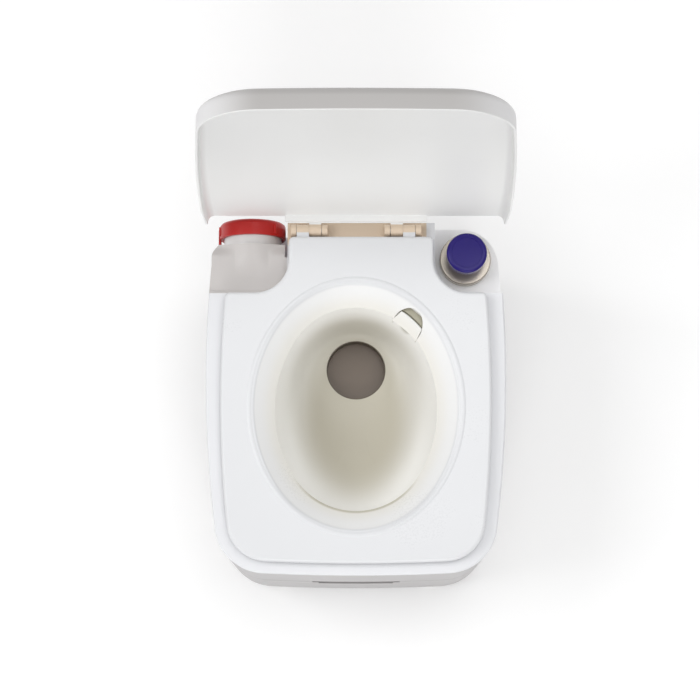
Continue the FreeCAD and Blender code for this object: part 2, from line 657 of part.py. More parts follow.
def make_valve_handle():
    """A pull bar across the front, hollowed behind for the fingers."""
    body = new_body("valve_handle")
    low = f"{BLADE_UNDER} + blade_thickness / 2 - handle_height / 2"
    rear = f"({HANDLE_FRONT} + handle_depth)"
    pad(body, draw(new_sketch(body, offset=low), [
        ("-handle_half_width", HANDLE_FRONT), ("handle_half_width", HANDLE_FRONT),
        ("handle_half_width", rear),
        ("-handle_half_width", rear)]), "handle_height")
    soften(body, "handle_depth / 3", upright(front="0"))
    grips = new_sketch(body, offset=low)
    for side in ("", "-"):
        x = (f"{side}(arm_half_width + wall)", f"{side}(handle_half_width - wall)")
        order = x if side == "" else x[::-1]
        draw_rectangle(grips, order, (f"{HANDLE_FRONT} + wall", f"{rear} - wall / 2"))
    pad(body, grips, "handle_height - wall", "Pocket", reverse=True)
    return body


def draw_rectangle(sketch, x, y):
    return draw(sketch, [(x[0], y[0]), (x[1], y[0]), (x[1], y[1]), (x[0], y[1])])


# Flush tank: the open pan, and the deck moulding with its bowl and its two rear pockets.
POCKET_UNDER = f"({POCKET_FLOOR} - deck_thickness)"
NOTCH_UNDER = f"({NOTCH_FLOOR} - deck_thickness)"
SHOULDER = f"({DECK_TOP} - shoulder_drop)"
SHOULDER_UNDER = f"({SHOULDER} - deck_thickness)"
PAN_SEAM = f"({LATCH_Z} + latch_length + latch_margin + 2 * wall)"


def make_pan():
    outer = tank_block("pan_outer", WASTE_TOP, PAN_TOP)
    soften(outer, "tank_edge", at_height(WASTE_TOP))
    hollow = tank_block("pan_hollow", PAN_FLOOR, f"({PAN_TOP} + wall)", "0 - wall", "(tank_rear - wall)")
    latch_backs = both_sides(lambda side, sign: latch_block(f"pan_{side}_latch_back", sign, "wall"))
    inside = cut("pan_inside", hollow, latch_backs)
    latch_cuts = both_sides(lambda side, sign: latch_block(f"pan_{side}_latch_cut", sign, "0"))
    corners = [
        box("pan_right_corner", (f"{RIGHT_WALL} - shell_wall", FAR), ("pocket_front - shell_wall", FAR),
            (POCKET_UNDER, FAR)),
        box("pan_left_corner", (f"-{FAR}", f"-{LEFT_WALL} + shell_wall"),
            ("pocket_front - shell_wall", FAR), (SHOULDER_UNDER, FAR)),
        box("pan_notch", (f"-{FAR}", f"-{LEFT_WALL} + shell_wall"), ("notch_front - shell_wall", FAR),
            (NOTCH_UNDER, FAR)),
    ]
    outlet = cylinder("pan_outlet", "outlet_radius + spigot_wall + pin_play", "4 * wall", y="outlet_y",
                      z=f"{WASTE_TOP} - wall")
    catches = both_sides(make_catch)
    tub = fuse("pan_tub", [cut("pan_shell", outer, [inside, outlet] + corners + latch_cuts)] + catches)
    below = box("below_pan_seam", (f"-{FAR}", FAR), (f"-{FAR}", FAR), ("0", PAN_SEAM))
    return {"flush_tank_base": common("flush_tank_base", [tub, below]),
            "flush_tank_pan": cut("flush_tank_pan", tub, [below])}


def make_catch(side, sign):
    """Makes the stud that a closed latch hooks over."""
    length = "(latch_lift + latch_thickness)"
    start = LATCH_FACE if sign == "" else f"(0 - {LATCH_FACE} - {length})"
    return cylinder(f"{side}_catch", "catch_radius", length, start,
                    "latch_y - latch_width / 2 - catch_play - catch_radius",
                    f"{LATCH_Z} + latch_length - latch_toe_width - catch_play - catch_radius", (0, 1, 0),
                    "90")


def corner_block(name, sign, wall_x, front, low, high, grow="0"):
    """Makes the block of a rear pocket, with its inner corner rounded."""
    near, far, rear = f"({wall_x} - ({grow}))", FAR, FAR
    start = f"({front} - ({grow}))"
    body = new_body(name)
    corners = [(near, start), (far, start), (far, rear), (near, rear)]
    if sign == "-":
        corners = [(f"-{far}", start), (f"-{near}", start), (f"-{near}", rear), (f"-{far}", rear)]
    pad(body, draw(new_sketch(body, offset=low), corners), f"{high} - ({low})")
    middle = number(f"{wall_x} + pocket_corner")
    soften(body, f"pocket_corner + ({grow})",
           lambda edge: upright(front=f"{front} + pocket_corner")(edge)
           and abs(edge.BoundBox.Center.x) < middle)
    return body


def egg_loft(body, wall, kind):
    """Adds the bowl's form: rim, upper and lower sections and the round outlet."""
    def section(drop, inset, egg="hole"):
        return draw_egg(new_sketch(body, offset=f"{DECK_TOP} - {drop}"), egg, f"{inset} - ({wall})")

    outlet = draw_ring(new_sketch(body, offset=f"{PAN_FLOOR} + outlet_rise - ({wall})"), "0", "outlet_y",
                       f"(outlet_radius + ({wall}))")
    return loft(body, [section("0", "bowl_rim"), section("bowl_upper_drop", "bowl_upper_inset"),
                       section("bowl_lower_drop", "0", "basin"), outlet], kind)


def make_bowl_deck():
    prism = tank_block("deck_prism", NOTCH_UNDER, DECK_TOP)
    soften(prism, "deck_thickness / 3", at_height(DECK_TOP))
    slab = box("deck_slab", (f"-{FAR}", FAR), (f"-{FAR}", FAR), (PAN_TOP, f"{DECK_TOP} + wall"))
    blocks = [
        slab,
        corner_block("right_block", "", RIGHT_WALL, "pocket_front", POCKET_UNDER, FAR, "shell_wall"),
        corner_block("left_block", "-", LEFT_WALL, "pocket_front", SHOULDER_UNDER, FAR, "shell_wall"),
        box("notch_block", (f"-{FAR}", f"-{LEFT_WALL} + shell_wall"), ("notch_front - shell_wall", FAR),
            (NOTCH_UNDER, FAR)),
    ]
    deck = common("deck_solid", [prism, fuse("deck_blocks", blocks)])
    cuts = [
        corner_block("right_pocket", "", RIGHT_WALL, "pocket_front", POCKET_FLOOR, FAR),
        corner_block("left_pocket", "-", LEFT_WALL, "pocket_front", SHOULDER, FAR),
        box("notch_pocket", (f"-{FAR}", f"-{LEFT_WALL}"), ("notch_front", FAR), (NOTCH_FLOOR, FAR)),
    ]
    shaped = cut("deck_shaped", deck, cuts)
    bowl = new_body("bowl_outer")
    egg_loft(bowl, "shell_wall", "AdditiveLoft")
    hollow = new_body("bowl_inner")
    egg_loft(hollow, "0", "AdditiveLoft")
    spigot = cylinder("spigot_outer", "outlet_radius + spigot_wall", "spigot_drop + wall + outlet_rise",
                      y="outlet_y", z=f"{WASTE_TOP} - spigot_drop")
    spigot_bore = cylinder("spigot_bore", "outlet_radius", "spigot_drop + 2 * wall + outlet_rise",
                           y="outlet_y", z=f"{WASTE_TOP} - spigot_drop - wall / 2")
    solid = fuse("deck_with_bowl", [shaped, bowl, spigot] + make_lugs())
    holes = [
        hollow, spigot_bore,
        cylinder("pump_cut", "barrel_bore + barrel_wall + plunger_play", "4 * deck_thickness", PUMP_X,
                 "pump_y",
                 f"{POCKET_FLOOR} - 2 * deck_thickness"),
        cylinder("filler_cut", "neck_radius - neck_wall", "4 * shell_wall", f"-{FILLER_X}",
                 "notch_front - 2 * shell_wall", FILLER_Z, (-1, 0, 0), "90"),
        along_hose(cylinder("nozzle_cut", "nozzle_radius", "nozzle_length"), "nozzle_reach"),
    ]
    return cut("bowl_deck", solid, holes)


def hinge_slots():
    """Gives the X ranges of one hinge, from its outer lug inwards: lug, seat, lid, lug."""
    half = "(knuckle_width + 1.5 * knuckle_play)"
    seat = (f"({HINGE_X} + knuckle_play / 2)", f"({HINGE_X} + knuckle_play / 2 + knuckle_width)")
    lid = (f"({HINGE_X} - knuckle_play / 2 - knuckle_width)", f"({HINGE_X} - knuckle_play / 2)")
    outer = (f"({HINGE_X} + {half})", f"({HINGE_X} + {half} + lug_width)")
    inner = (f"({HINGE_X} - {half} - lug_width)", f"({HINGE_X} - {half})")
    return {"outer": outer, "seat": seat, "lid": lid, "inner": inner}


def on_side(sign, span):
    """Mirrors an X range to the left side."""
    return span if sign == "" else (f"-{span[1]}", f"-{span[0]}")


def make_lugs():
    """Makes the four lugs on the deck that hold the hinge pins."""
    lugs = []
    for sign in ("", "-"):
        for kind in ("outer", "inner"):
            low, high = on_side(sign, hinge_slots()[kind])
            name = f"{'left' if sign else 'right'}_{kind}_lug"
            stem = box(name + "_stem", (low, high),
                       ("hinge_y - knuckle_radius", "hinge_y + knuckle_radius"),
                       (f"{DECK_TOP} - deck_thickness / 2", HINGE_Z))
            head = cylinder(name + "_head", "knuckle_radius", f"{high} - {low}", low, "hinge_y", HINGE_Z,
                            (0, 1, 0), "90")
            bore = cylinder(name + "_bore", "pin_radius", f"{high} - {low} + wall", f"{low} - wall / 2",
                            "hinge_y",
                            HINGE_Z, (0, 1, 0), "90")
            lugs.append(cut(name, fuse(name + "_solid", [stem, head]), [bore]))
    return lugs


def make_hinge_pins():
    pins = []
    for sign in ("", "-"):
        slots = hinge_slots()
        low, high = on_side(sign, (slots["inner"][0], slots["outer"][1]))
        pins.append(cylinder(f"{'left' if sign else 'right'}_pin", "pin_radius", f"{high} - {low}", low,
                             "hinge_y",
                             HINGE_Z, (0, 1, 0), "90"))
    return fuse("hinge_pins", pins)


def make_outlet_seal():
    return tube("outlet_seal", "outlet_radius + spigot_wall",
                "outlet_radius + spigot_wall + outlet_seal_wall",
                f"{WASTE_TOP} - spigot_drop", WASTE_TOP, y="outlet_y")


# Seat: a flat ring on a rear tongue, ribbed below, with a sloped flange down into the bowl.
def seat_block(name, low, height, inset):
    """Makes a block of the seat's outline, set in all round, with its large corners rounded."""
    front = f"(0 - tank_front + seat_inset + {inset})"
    front_x = f"(front_half_width - seat_inset - {inset})"
    rear_x = f"(rear_half_width - seat_inset - {inset})"
    shoulder = f"(pocket_front - seat_gap - {inset})"
    rear = f"(tongue_rear - {inset})"
    left, right = f"(seat_gap + {inset} - {LEFT_WALL})", f"({RIGHT_WALL} - seat_gap - {inset})"
    body = new_body(name)
    outline = draw(new_sketch(body, offset=low), [
        (f"-{front_x}", front), (front_x, front), (rear_x, shoulder), (right, shoulder),
        (right, rear), (left, rear), (left, shoulder), (f"-{rear_x}", shoulder),
    ], {0: f"front_bow - seat_inset - {inset}", 1: f"side_bow - seat_inset - {inset}",
        7: f"side_bow - seat_inset - {inset}"})
    pad(body, outline, height)
    soften(body, f"front_corner - seat_inset - {inset}", upright(front="0"))
    side = number(rear_x) - 1
    soften(body, f"pocket_corner + seat_gap + {inset}",
           lambda edge: upright(rear="0", front="pocket_front")(edge)
           and abs(edge.BoundBox.Center.x) < side)
    return body


def seat_hollow():
    """Makes the hollow below the seat, with its ribs and the bosses of the bumpers left standing."""
    room = seat_block("seat_room", f"({SEAT_UNDER} - wall)", "seat_thickness - shell_wall + wall",
                      "seat_rim")
    ring = new_body("hole_wall")
    pad(ring, draw_egg(new_sketch(ring, offset=f"({SEAT_UNDER} - 2 * wall)"), "hole", "0 - seat_rim"),
        "seat_thickness + 2 * wall")
    levels = (f"{SEAT_UNDER} - 2 * wall", SEAT_TOP)
    ribs = [box("seat_long_rib", ("0 - seat_rib / 2", "seat_rib / 2"), (f"-{FAR}", FAR), levels)]
    for index in range(6):
        y = f"hole_rear - {index} * seat_rib_pitch"
        ribs.append(box(f"seat_rib_{index}", (f"-{FAR}", FAR), (y, f"{y} + seat_rib"), levels))
    bosses = seat_pads("bumper_boss", "bumper_radius + seat_rib", SEAT_TOP)
    return cut("seat_hollow", room, [ring] + ribs + bosses)


def make_seat():
    body = seat_block("seat_ring", SEAT_UNDER, "seat_thickness", "0")
    inner = number("rear_half_width - seat_inset") - 1
    soften(body, "seat_inset / 2",
           lambda edge: upright(rear="0", front="pocket_front")(edge)
           and abs(edge.BoundBox.Center.x) > inner)
    soften(body, "seat_inset / 2", upright(rear="pocket_front + pocket_corner + seat_gap + 1"))
    soften(body, "seat_edge", at_height(SEAT_TOP))
    tip = f"({DECK_TOP} - flange_drop)"
    loft(body, [
        draw_egg(new_sketch(body, offset=f"{SEAT_TOP} - seat_edge"), "hole", "0"),
        draw_egg(new_sketch(body, offset=tip), "hole", "flange_slope - shell_wall"),
    ])
    loft(body, [
        draw_egg(new_sketch(body, offset=SEAT_TOP), "hole", "0"),
        draw_egg(new_sketch(body, offset=tip), "hole", "flange_slope"),
    ], "SubtractiveLoft")
    hole_front = number("0 - hole_front - 1")
    hole_rear = number("hole_rear + 1")
    soften(body, "seat_edge", lambda edge: at_height(SEAT_TOP)(edge) and hole_front < edge.BoundBox.YMin
           and edge.BoundBox.YMax < hole_rear)
    knuckles = []
    for sign in ("", "-"):
        side = "left" if sign else "right"
        low, high = on_side(sign, hinge_slots()["seat"])
        knuckles.append(cylinder(f"{side}_seat_knuckle", "knuckle_radius", f"{high} - {low}", low,
                                 "hinge_y", HINGE_Z,
                                 (0, 1, 0), "90"))
        knuckles.append(box(f"{side}_seat_arm", (low, high), ("tongue_rear - knuckle_radius", "hinge_y"),
                            (f"{HINGE_Z} - knuckle_radius / 2", f"{HINGE_Z} + knuckle_radius")))
    bores = []
    for sign in ("", "-"):
        low, high = on_side(sign, hinge_slots()["seat"])
        bores.append(cylinder(f"{'left' if sign else 'right'}_seat_bore", "pin_radius + pin_play",
                              f"{high} - {low} + wall", f"{low} - wall / 2", "hinge_y", HINGE_Z,
                              (0, 1, 0), "90"))
    recesses = seat_pads("bumper_recess", "bumper_radius + pin_play", f"{SEAT_UNDER} + bumper_recess")
    notch = along_hose(cylinder("flange_notch_cut", "flange_notch", "2 * flange_slope"),
                       "nozzle_reach + nozzle_radius", f"{DECK_TOP} - flange_notch_drop")
    return cut("seat", fuse("seat_solid", [body] + knuckles), bores + recesses + [notch, seat_hollow()])


def seat_pads(kind, radius, top):
    """Makes four discs from the deck up, at the places of the seat's bumpers."""
    places = [(x, y) for y in ("-bumper_front", "bumper_rear")
              for x in ("-bumper_spread", "bumper_spread")]
    pads = []
    for index, (x, y) in enumerate(places):
        pads.append(cylinder(f"{kind}_{index}", radius, f"{top} - {DECK_TOP}", x, y, DECK_TOP))
    return pads


def make_seat_bumpers():
    return fuse("seat_bumpers",
                seat_pads("seat_bumper", "bumper_radius", f"{SEAT_UNDER} + bumper_recess"))


# Lid: a shallow tray that closes over the seat, shown open. Its own frame is on the hinge axis.
def lid_z(formula):
    return f"({formula} - {HINGE_Z})"


LID_UNDER = f"({SEAT_TOP} + lid_gap)"
LID_TOP = f"({LID_UNDER} + shell_wall)"
LID_SKIRT = f"({DECK_TOP} + lid_lift)"


def lid_outline(sketch, grow, rear):
    """Draws the lid's outline in its own frame."""
    front = f"(0 - tank_front - ({grow}) - hinge_y)"
    front_x = f"(front_half_width + ({grow}))"
    rear_x = f"(lid_rear_half_width + ({grow}))"
    bow = f"lid_side_bow + ({grow})"
    return draw(sketch, [(f"-{front_x}", front), (front_x, front), (rear_x, rear), (f"-{rear_x}", rear)],
                {0: f"front_bow + ({grow})", 1: bow, 3: bow})


def open_lid(item):
    """Swings a piece of the lid about the hinge to its open place."""
    return place(item, "0", "hinge_y", HINGE_Z, (-1, 0, 0), "lid_open")


def make_lid():
    rear = "(lid_rear - hinge_y)"
    tray = new_body("lid_tray")
    pad(tray, lid_outline(new_sketch(tray, offset=lid_z(LID_SKIRT)), "lid_overhang", rear),
        f"{LID_TOP} - {LID_SKIRT}")
    soften(tray, "front_corner + lid_overhang", upright(front="0 - hinge_y"))
    behind = number(f"{rear} - 1")
    soften(tray, "lid_edge",
           lambda edge: at_height(lid_z(LID_TOP))(edge) and edge.BoundBox.YMin < behind)
    room = new_body("lid_room")
    inner = "lid_overhang - shell_wall"
    pad(room, lid_outline(new_sketch(room, offset=lid_z(LID_SKIRT) + " - wall"), inner,
                          f"({rear} + lid_tip_length)"),
        f"{LID_UNDER} - {LID_SKIRT} + wall")
    soften(room, f"front_corner + ({inner})", upright(front="0 - hinge_y"))
    soften(room, "lid_edge - shell_wall", at_height(lid_z(LID_UNDER)))
    tips = new_body("lid_tips")
    low = lid_z(LID_SKIRT)
    tip = f"({lid_z(LID_TOP)} - lid_tip)"
    pad(tips, draw(new_sketch(tips, "YZ_Plane"), [
        (f"{rear} - lid_tip_length", f"{low} - 1"), (f"{rear} + wall", f"{low} - 1"),
        (f"{rear} + wall", tip), (rear, tip)]), f"2 * {FAR}", both=True)
    knuckles, bores = [], []
    for sign in ("", "-"):
        side = "left" if sign else "right"
        start, end = on_side(sign, hinge_slots()["lid"])
        knuckles.append(cylinder(f"{side}_lid_knuckle", "knuckle_radius", f"{end} - {start}", start, "0",
                                 "0",
                                 (0, 1, 0), "90"))
        knuckles.append(box(f"{side}_lid_arm", (start, end),
                            ("0 - knuckle_radius", "knuckle_radius / 2"),
                            ("0", f"{lid_z(LID_UNDER)} + shell_wall / 2")))
        bores.append(cylinder(f"{side}_lid_bore", "pin_radius + pin_play", f"{end} - {start} + wall",
                              f"{start} - wall / 2", "0", "0", (0, 1, 0), "90"))
    hollow = cut("lid_shell", tray, [room, tips])
    return open_lid(cut("lid", fuse("lid_solid", [hollow] + knuckles), bores))


HOSE_SPAN = f"sqrt((nozzle_x - {PUMP_X}) ^ 2 + (nozzle_y - pump_y) ^ 2)"


def along_hose(item, reach, height=NOZZLE_Z):
    """Turns a piece along the line from the pump to the bowl, at a distance from the pump."""
    across = (number("pump_y - nozzle_y"), number(f"nozzle_x - {PUMP_X}"), 0)
    return place(item, f"{PUMP_X} + (nozzle_x - {PUMP_X}) * ({reach}) / {HOSE_SPAN}",
                 f"pump_y + (nozzle_y - pump_y) * ({reach}) / {HOSE_SPAN}", height, across, "90")


# Flush pump: barrel, collar, plunger and spring, with the strainer below and the hose to the bowl.
def make_pump_barrel():
    outer = "(barrel_bore + barrel_wall)"
    top = f"({POCKET_FLOOR} + barrel_flange_height)"
    barrel = turned("barrel_tube", [
        ("intake_bore", BARREL_BASE), (outer, BARREL_BASE), (outer, POCKET_FLOOR),
        ("barrel_flange", POCKET_FLOOR),
        ("barrel_flange", top), ("barrel_bore", top), ("barrel_bore", SPRING_BASE),
        ("intake_bore", SPRING_BASE),
    ], PUMP_X, "pump_y")
    start = "(barrel_bore + barrel_wall / 2)"
    nipple = along_hose(cylinder("hose_nipple", "hose_bore", "nipple_length + barrel_wall / 2"), start,
                        HOSE_LOW)
    bore = along_hose(cylinder("nipple_bore", "hose_bore / 2", "2 * nipple_length"), "barrel_bore / 2",
                      HOSE_LOW)
    return cut("pump_barrel", fuse("barrel_solid", [barrel, nipple]), [bore])


def make_strainer():
    """A cup with side holes that stands on the pan floor below the barrel."""
    cup = tube("strainer_cup", "strainer_radius - wall", "strainer_radius", PAN_FLOOR, BARREL_BASE,
               PUMP_X, "pump_y")
    holes = []
    for index in range(int(number("strainer_slots"))):
        turn = index * 2 * math.pi / number("strainer_slots")
        holes.append(cylinder(f"strainer_hole_{index}", "barrel_lift / 4", "strainer_radius + wall",
                              PUMP_X, "pump_y",
                              f"{PAN_FLOOR} + barrel_lift / 2", (math.sin(turn), math.cos(turn), 0),
                              "90"))
    return cut("intake_strainer", cup, holes)


def make_plunger():
    top = f"({KNOB_UNDER} + knob_height)"
    knob = turned("pump_knob", [
        ("plunger_radius", KNOB_UNDER), ("knob_radius", KNOB_UNDER),
        ("knob_radius", f"{top} - knob_edge"),
        ("knob_radius - knob_edge", top), ("0", top), ("0", f"{top} - knob_wall"),
        ("plunger_radius", f"{top} - knob_wall"),
    ], PUMP_X, "pump_y")
    piston_top = f"({PISTON_UNDER} + piston_height)"
    stem = tube("plunger_tube", "plunger_radius - plunger_wall", "plunger_radius", piston_top,
                f"{top} - knob_wall",
                PUMP_X, "pump_y")
    rim = "(barrel_bore - piston_play)"
    groove_low = f"({PISTON_UNDER} + piston_height / 2 - ring_height / 2)"
    groove_high = f"({groove_low} + ring_height)"
    piston = turned("pump_piston", [
        ("0", PISTON_UNDER), (rim, PISTON_UNDER), (rim, groove_low), (f"{rim} - ring_depth", groove_low),
        (f"{rim} - ring_depth", groove_high), (rim, groove_high), (rim, piston_top), ("0", piston_top),
    ], PUMP_X, "pump_y")
    ring = tube("piston_ring", f"{rim} - ring_depth", "barrel_bore - ring_play", groove_low, groove_high,
                PUMP_X, "pump_y")
    return {"pump_knob": knob, "plunger_tube": stem, "pump_piston": piston, "piston_ring": ring}


def make_collar():
    under = f"({COLLAR_TOP} - collar_wall)"
    inner = "(barrel_flange + plunger_play)"
    hole = "(plunger_radius + plunger_play)"
    return turned("pump_collar", [
        (hole, under), (inner, under), (inner, POCKET_FLOOR), ("collar_radius", POCKET_FLOOR),
        ("collar_radius", f"{COLLAR_TOP} - collar_wall / 2"),
        ("collar_radius - collar_wall / 2", COLLAR_TOP),
        (hole, COLLAR_TOP),
    ], PUMP_X, "pump_y")


def coil(name, x, y, low, length, radius, wire, turns):
    """Makes a spring of one six-sided wire on short straight runs, and prints its least gap."""
    thick, count = number(wire), int(number(turns))
    rise = number(length) - 2 * thick
    runs = int(number("spring_runs")) * count
    points = []
    for index in range(runs + 1):
        angle = 2 * math.pi * count * index / runs
        points.append(FreeCAD.Vector(number(radius) * math.cos(angle), number(radius) * math.sin(angle),
                                     number(low) + thick + rise * index / runs))
    ahead = points[1] - points[0]
    across = ahead.cross(FreeCAD.Vector(0, 0, 1)).normalize()
    upward = across.cross(ahead).normalize()
    corners = []
    for index in range(7):
        angle = index * math.pi / 3
        corners.append(points[0] + (across * math.cos(angle) + upward * math.sin(angle)) * thick)
    solid = Part.makePolygon(points).makePipeShell([Part.makePolygon(corners)], True, False, 1)
    print(name, "least gap", round(rise / count - 2 * thick, 2))
    return place(shape_feature(name, solid), x, y)


def make_hose():
    """The flush hose, from the barrel's nipple up and into the nozzle at the bowl."""
    low, high, bend = number(HOSE_LOW), number(NOZZLE_Z), number("hose_bend")
    start = number("barrel_bore + barrel_wall + hose_play")
    turn = number("barrel_bore + barrel_wall + hose_run")
    end = number("nozzle_reach + nozzle_grip - hose_play")
    corner = bend * (1 - math.sqrt(0.5))

    def point(along, up):
        return FreeCAD.Vector(along, 0, up)

    knots = [point(start, low), point(turn, low), point(turn + bend, low + bend),
             point(turn + bend, high - bend),
             point(turn + 2 * bend, high), point(end, high)]
    path = Part.Wire([
        Part.LineSegment(knots[0], knots[1]).toShape(),
        Part.Arc(knots[1], point(turn + bend - corner, low + corner), knots[2]).toShape(),
        Part.LineSegment(knots[2], knots[3]).toShape(),
        Part.Arc(knots[3], point(turn + bend + corner, high - corner), knots[4]).toShape(),
        Part.LineSegment(knots[4], knots[5]).toShape(),
    ])
    pipes = []
    for radius in ("hose_radius", "hose_bore + pin_play"):
        ring = Part.Wire(Part.makeCircle(number(radius), knots[0], FreeCAD.Vector(1, 0, 0)))
        pipes.append(path.makePipeShell([ring], True, False))
    hose = shape_feature("flush_hose", pipes[0].cut(pipes[1]))
    heading = math.degrees(math.atan2(number("nozzle_y - pump_y"), number(f"nozzle_x - {PUMP_X}")))
    hose.Placement = FreeCAD.Placement(FreeCAD.Vector(number(PUMP_X), number("pump_y"), 0),
                                       FreeCAD.Rotation(FreeCAD.Vector(0, 0, 1), heading))
    return hose


def make_nozzle():
    socket = "(hose_radius + pin_play)"
    return along_hose(turned("flush_nozzle", [
        (socket, "0"), ("nozzle_radius - pin_play", "0"), ("nozzle_radius - pin_play", "nozzle_length"),
        ("hose_bore", "nozzle_length"), ("hose_bore", "nozzle_grip"), (socket, "nozzle_grip"),
    ]), "nozzle_reach")


# Filler: the neck on the notch wall, its gasket and the red screw cap.
def make_fill_neck():
    inner = "(neck_radius - neck_wall)"
    return turned("fill_neck", [
        (inner, "0"), ("neck_radius + neck_wall", "0"), ("neck_radius + neck_wall", "neck_wall"),
        ("neck_radius", "neck_wall"), ("neck_radius", "neck_length"), (inner, "neck_length"),
    ], f"-{FILLER_X}", "notch_front", FILLER_Z, (-1, 0, 0), "90")


def make_fill_cap():
    end = "(neck_length + gasket_height)"
    start = f"({end} + cap_end - cap_skirt)"
    inner = "(neck_radius + cap_play)"
    shell = turned("cap_shell", [
        (inner, start), ("cap_radius", start), ("cap_radius", f"{end}"),
        ("cap_radius - cap_end", f"{end} + cap_end"),
        ("0", f"{end} + cap_end"), ("0", end), (inner, end),
    ])
    ribs = []
    for index in range(int(number("cap_ribs"))):
        angle = index * 360 / int(number("cap_ribs"))
        ribs.append(cylinder(f"cap_rib_{index}", "cap_rib", "cap_skirt - cap_end",
                             f"cap_radius * cos({angle})",
                             f"cap_radius * sin({angle})", start))
    tab = box("cap_tab", ("-cap_radius - cap_rib", "-cap_radius + cap_end / 2"), ("-cap_end", "cap_end"),
              (f"{start} - 2 * cap_end", f"{end} - cap_end"))
    return place(fuse("fill_cap", [shell, tab] + ribs), f"-{FILLER_X}", "notch_front", FILLER_Z, (-1, 0, 0),
                 "90")


def make_fill_gasket():
    return turned("fill_gasket", [
        ("neck_radius - neck_wall", "neck_length"), ("neck_radius", "neck_length"),
        ("neck_radius", "neck_length + gasket_height"),
        ("neck_radius - neck_wall", "neck_length + gasket_height"),
    ], f"-{FILLER_X}", "notch_front", FILLER_Z, (-1, 0, 0), "90")


# Pour spout: a bent tube that swings out of the shelf at the back of the waste tank.
def make_spout():
    body = new_body("spout_tube")
    low = f"({SHELF_TOP} - 2 * wall)"
    ring = new_sketch(body, offset=low)
    draw_circle(ring, "0", "0", "spout_radius")
    draw_circle(ring, "0", "0", "spout_radius - spout_wall")
    spine = new_sketch(body, "XZ_Plane")
    rise, bend = f"({SPOUT_Z} - spout_bend)", number("spout_bend")
    turn = FreeCAD.Vector(bend, number(rise), 0)
    knots = [FreeCAD.Vector(0, number(low), 0), FreeCAD.Vector(0, number(rise), 0),
             FreeCAD.Vector(bend, number(SPOUT_Z), 0), FreeCAD.Vector(bend + number("spout_length"),
                                                                      number(SPOUT_Z), 0)]
    spine.addGeometry(Part.LineSegment(knots[0], knots[1]), False)
    circle = Part.Circle(turn, FreeCAD.Vector(0, 0, 1), bend)
    spine.addGeometry(Part.ArcOfCircle(circle, math.pi / 2, math.pi), False)
    spine.addGeometry(Part.LineSegment(knots[2], knots[3]), False)
    spine.addConstraint(Sketcher.Constraint("Coincident", 0, 2, 1, 2))
    spine.addConstraint(Sketcher.Constraint("Coincident", 1, 1, 2, 1))
    for x, y, edge, end in (("0", low, 0, 1), ("0", rise, 0, 2), ("spout_bend", SPOUT_Z, 2, 1),
                            ("spout_bend + spout_length", SPOUT_Z, 2, 2)):
        dimension(spine, "DistanceX", x, -1, 1, edge, end)
        dimension(spine, "DistanceY", y, -1, 1, edge, end)
    dimension(spine, "Radius", "spout_bend", 1)
    pipe = body.newObject("PartDesign::AdditivePipe", "spout_pipe")
    pipe.Profile = ring
    pipe.Spine = (spine, ["Edge1", "Edge2", "Edge3"])
    doc.recompute()
    place(body, f"-{SPOUT_X}", "spout_y")
    collar = tube("spout_ring", "spout_radius - spout_wall / 2", "spout_collar",
                  f"{SHELF_TOP} + spout_lift",
                  f"{SHELF_TOP} + spout_lift + spout_grip", f"-{SPOUT_X}", "spout_y")
    return fuse("pour_spout", [body, collar])


def make_spout_seal():
    return tube("spout_seal", "spout_radius + spout_play", "spout_collar", SHELF_TOP,
                f"{SHELF_TOP} + spout_lift",
                f"-{SPOUT_X}", "spout_y")


def make_spout_cap():
    inner = "(spout_radius + spout_cap_play)"
    end = f"({SPOUT_END} + gasket_height)"
    return turned("spout_cap", [
        (inner, f"{end} + spout_cap_wall - spout_cap_length"),
        ("spout_cap_radius", f"{end} + spout_cap_wall - spout_cap_length"), ("spout_cap_radius", end),
        ("spout_cap_radius - spout_cap_wall", f"{end} + spout_cap_wall"),
        ("0", f"{end} + spout_cap_wall"),
        ("0", end), (inner, end),
    ], "0", "spout_y", SPOUT_Z, (0, 1, 0), "90")


def make_spout_gasket():
    return tube("spout_gasket", "spout_radius - spout_wall", "spout_radius", SPOUT_END,
                f"{SPOUT_END} + gasket_height",
                "0", "spout_y", SPOUT_Z, (0, 1, 0), "90")


# Vent: a sprung button in a sleeve on the shelf lets air in while the tank is emptied.
VENT_FLOOR = f"({SHELF_TOP} - 3 * wall)"
VENT_UNDER = f"({VENT_FLOOR} + 2 * vent_stroke)"


def make_vent_sleeve():
    inner, outer = "(vent_radius + vent_play)", "(vent_radius + vent_wall)"
    rim = f"({SHELF_TOP} + 2 * vent_wall)"
    return turned("vent_sleeve", [
        ("vent_stem", f"{VENT_FLOOR} - vent_wall"), (outer, f"{VENT_FLOOR} - vent_wall"),
        (outer, SHELF_TOP),
        (f"{outer} + vent_wall", SHELF_TOP), (f"{outer} + vent_wall", f"{SHELF_TOP} + vent_wall"),
        (outer, f"{SHELF_TOP} + vent_wall"), (outer, rim), (inner, rim), (inner, VENT_FLOOR),
        ("vent_stem", VENT_FLOOR),
    ], "vent_x", "spout_y")


def make_vent_button():
    top = f"({VENT_UNDER} + vent_height)"
    return turned("vent_button", [
        ("0", VENT_UNDER), ("vent_radius", VENT_UNDER), ("vent_radius", f"{top} - vent_play * 5"),
        ("vent_radius - vent_play * 5", top), ("0", top),
    ], "vent_x", "spout_y")


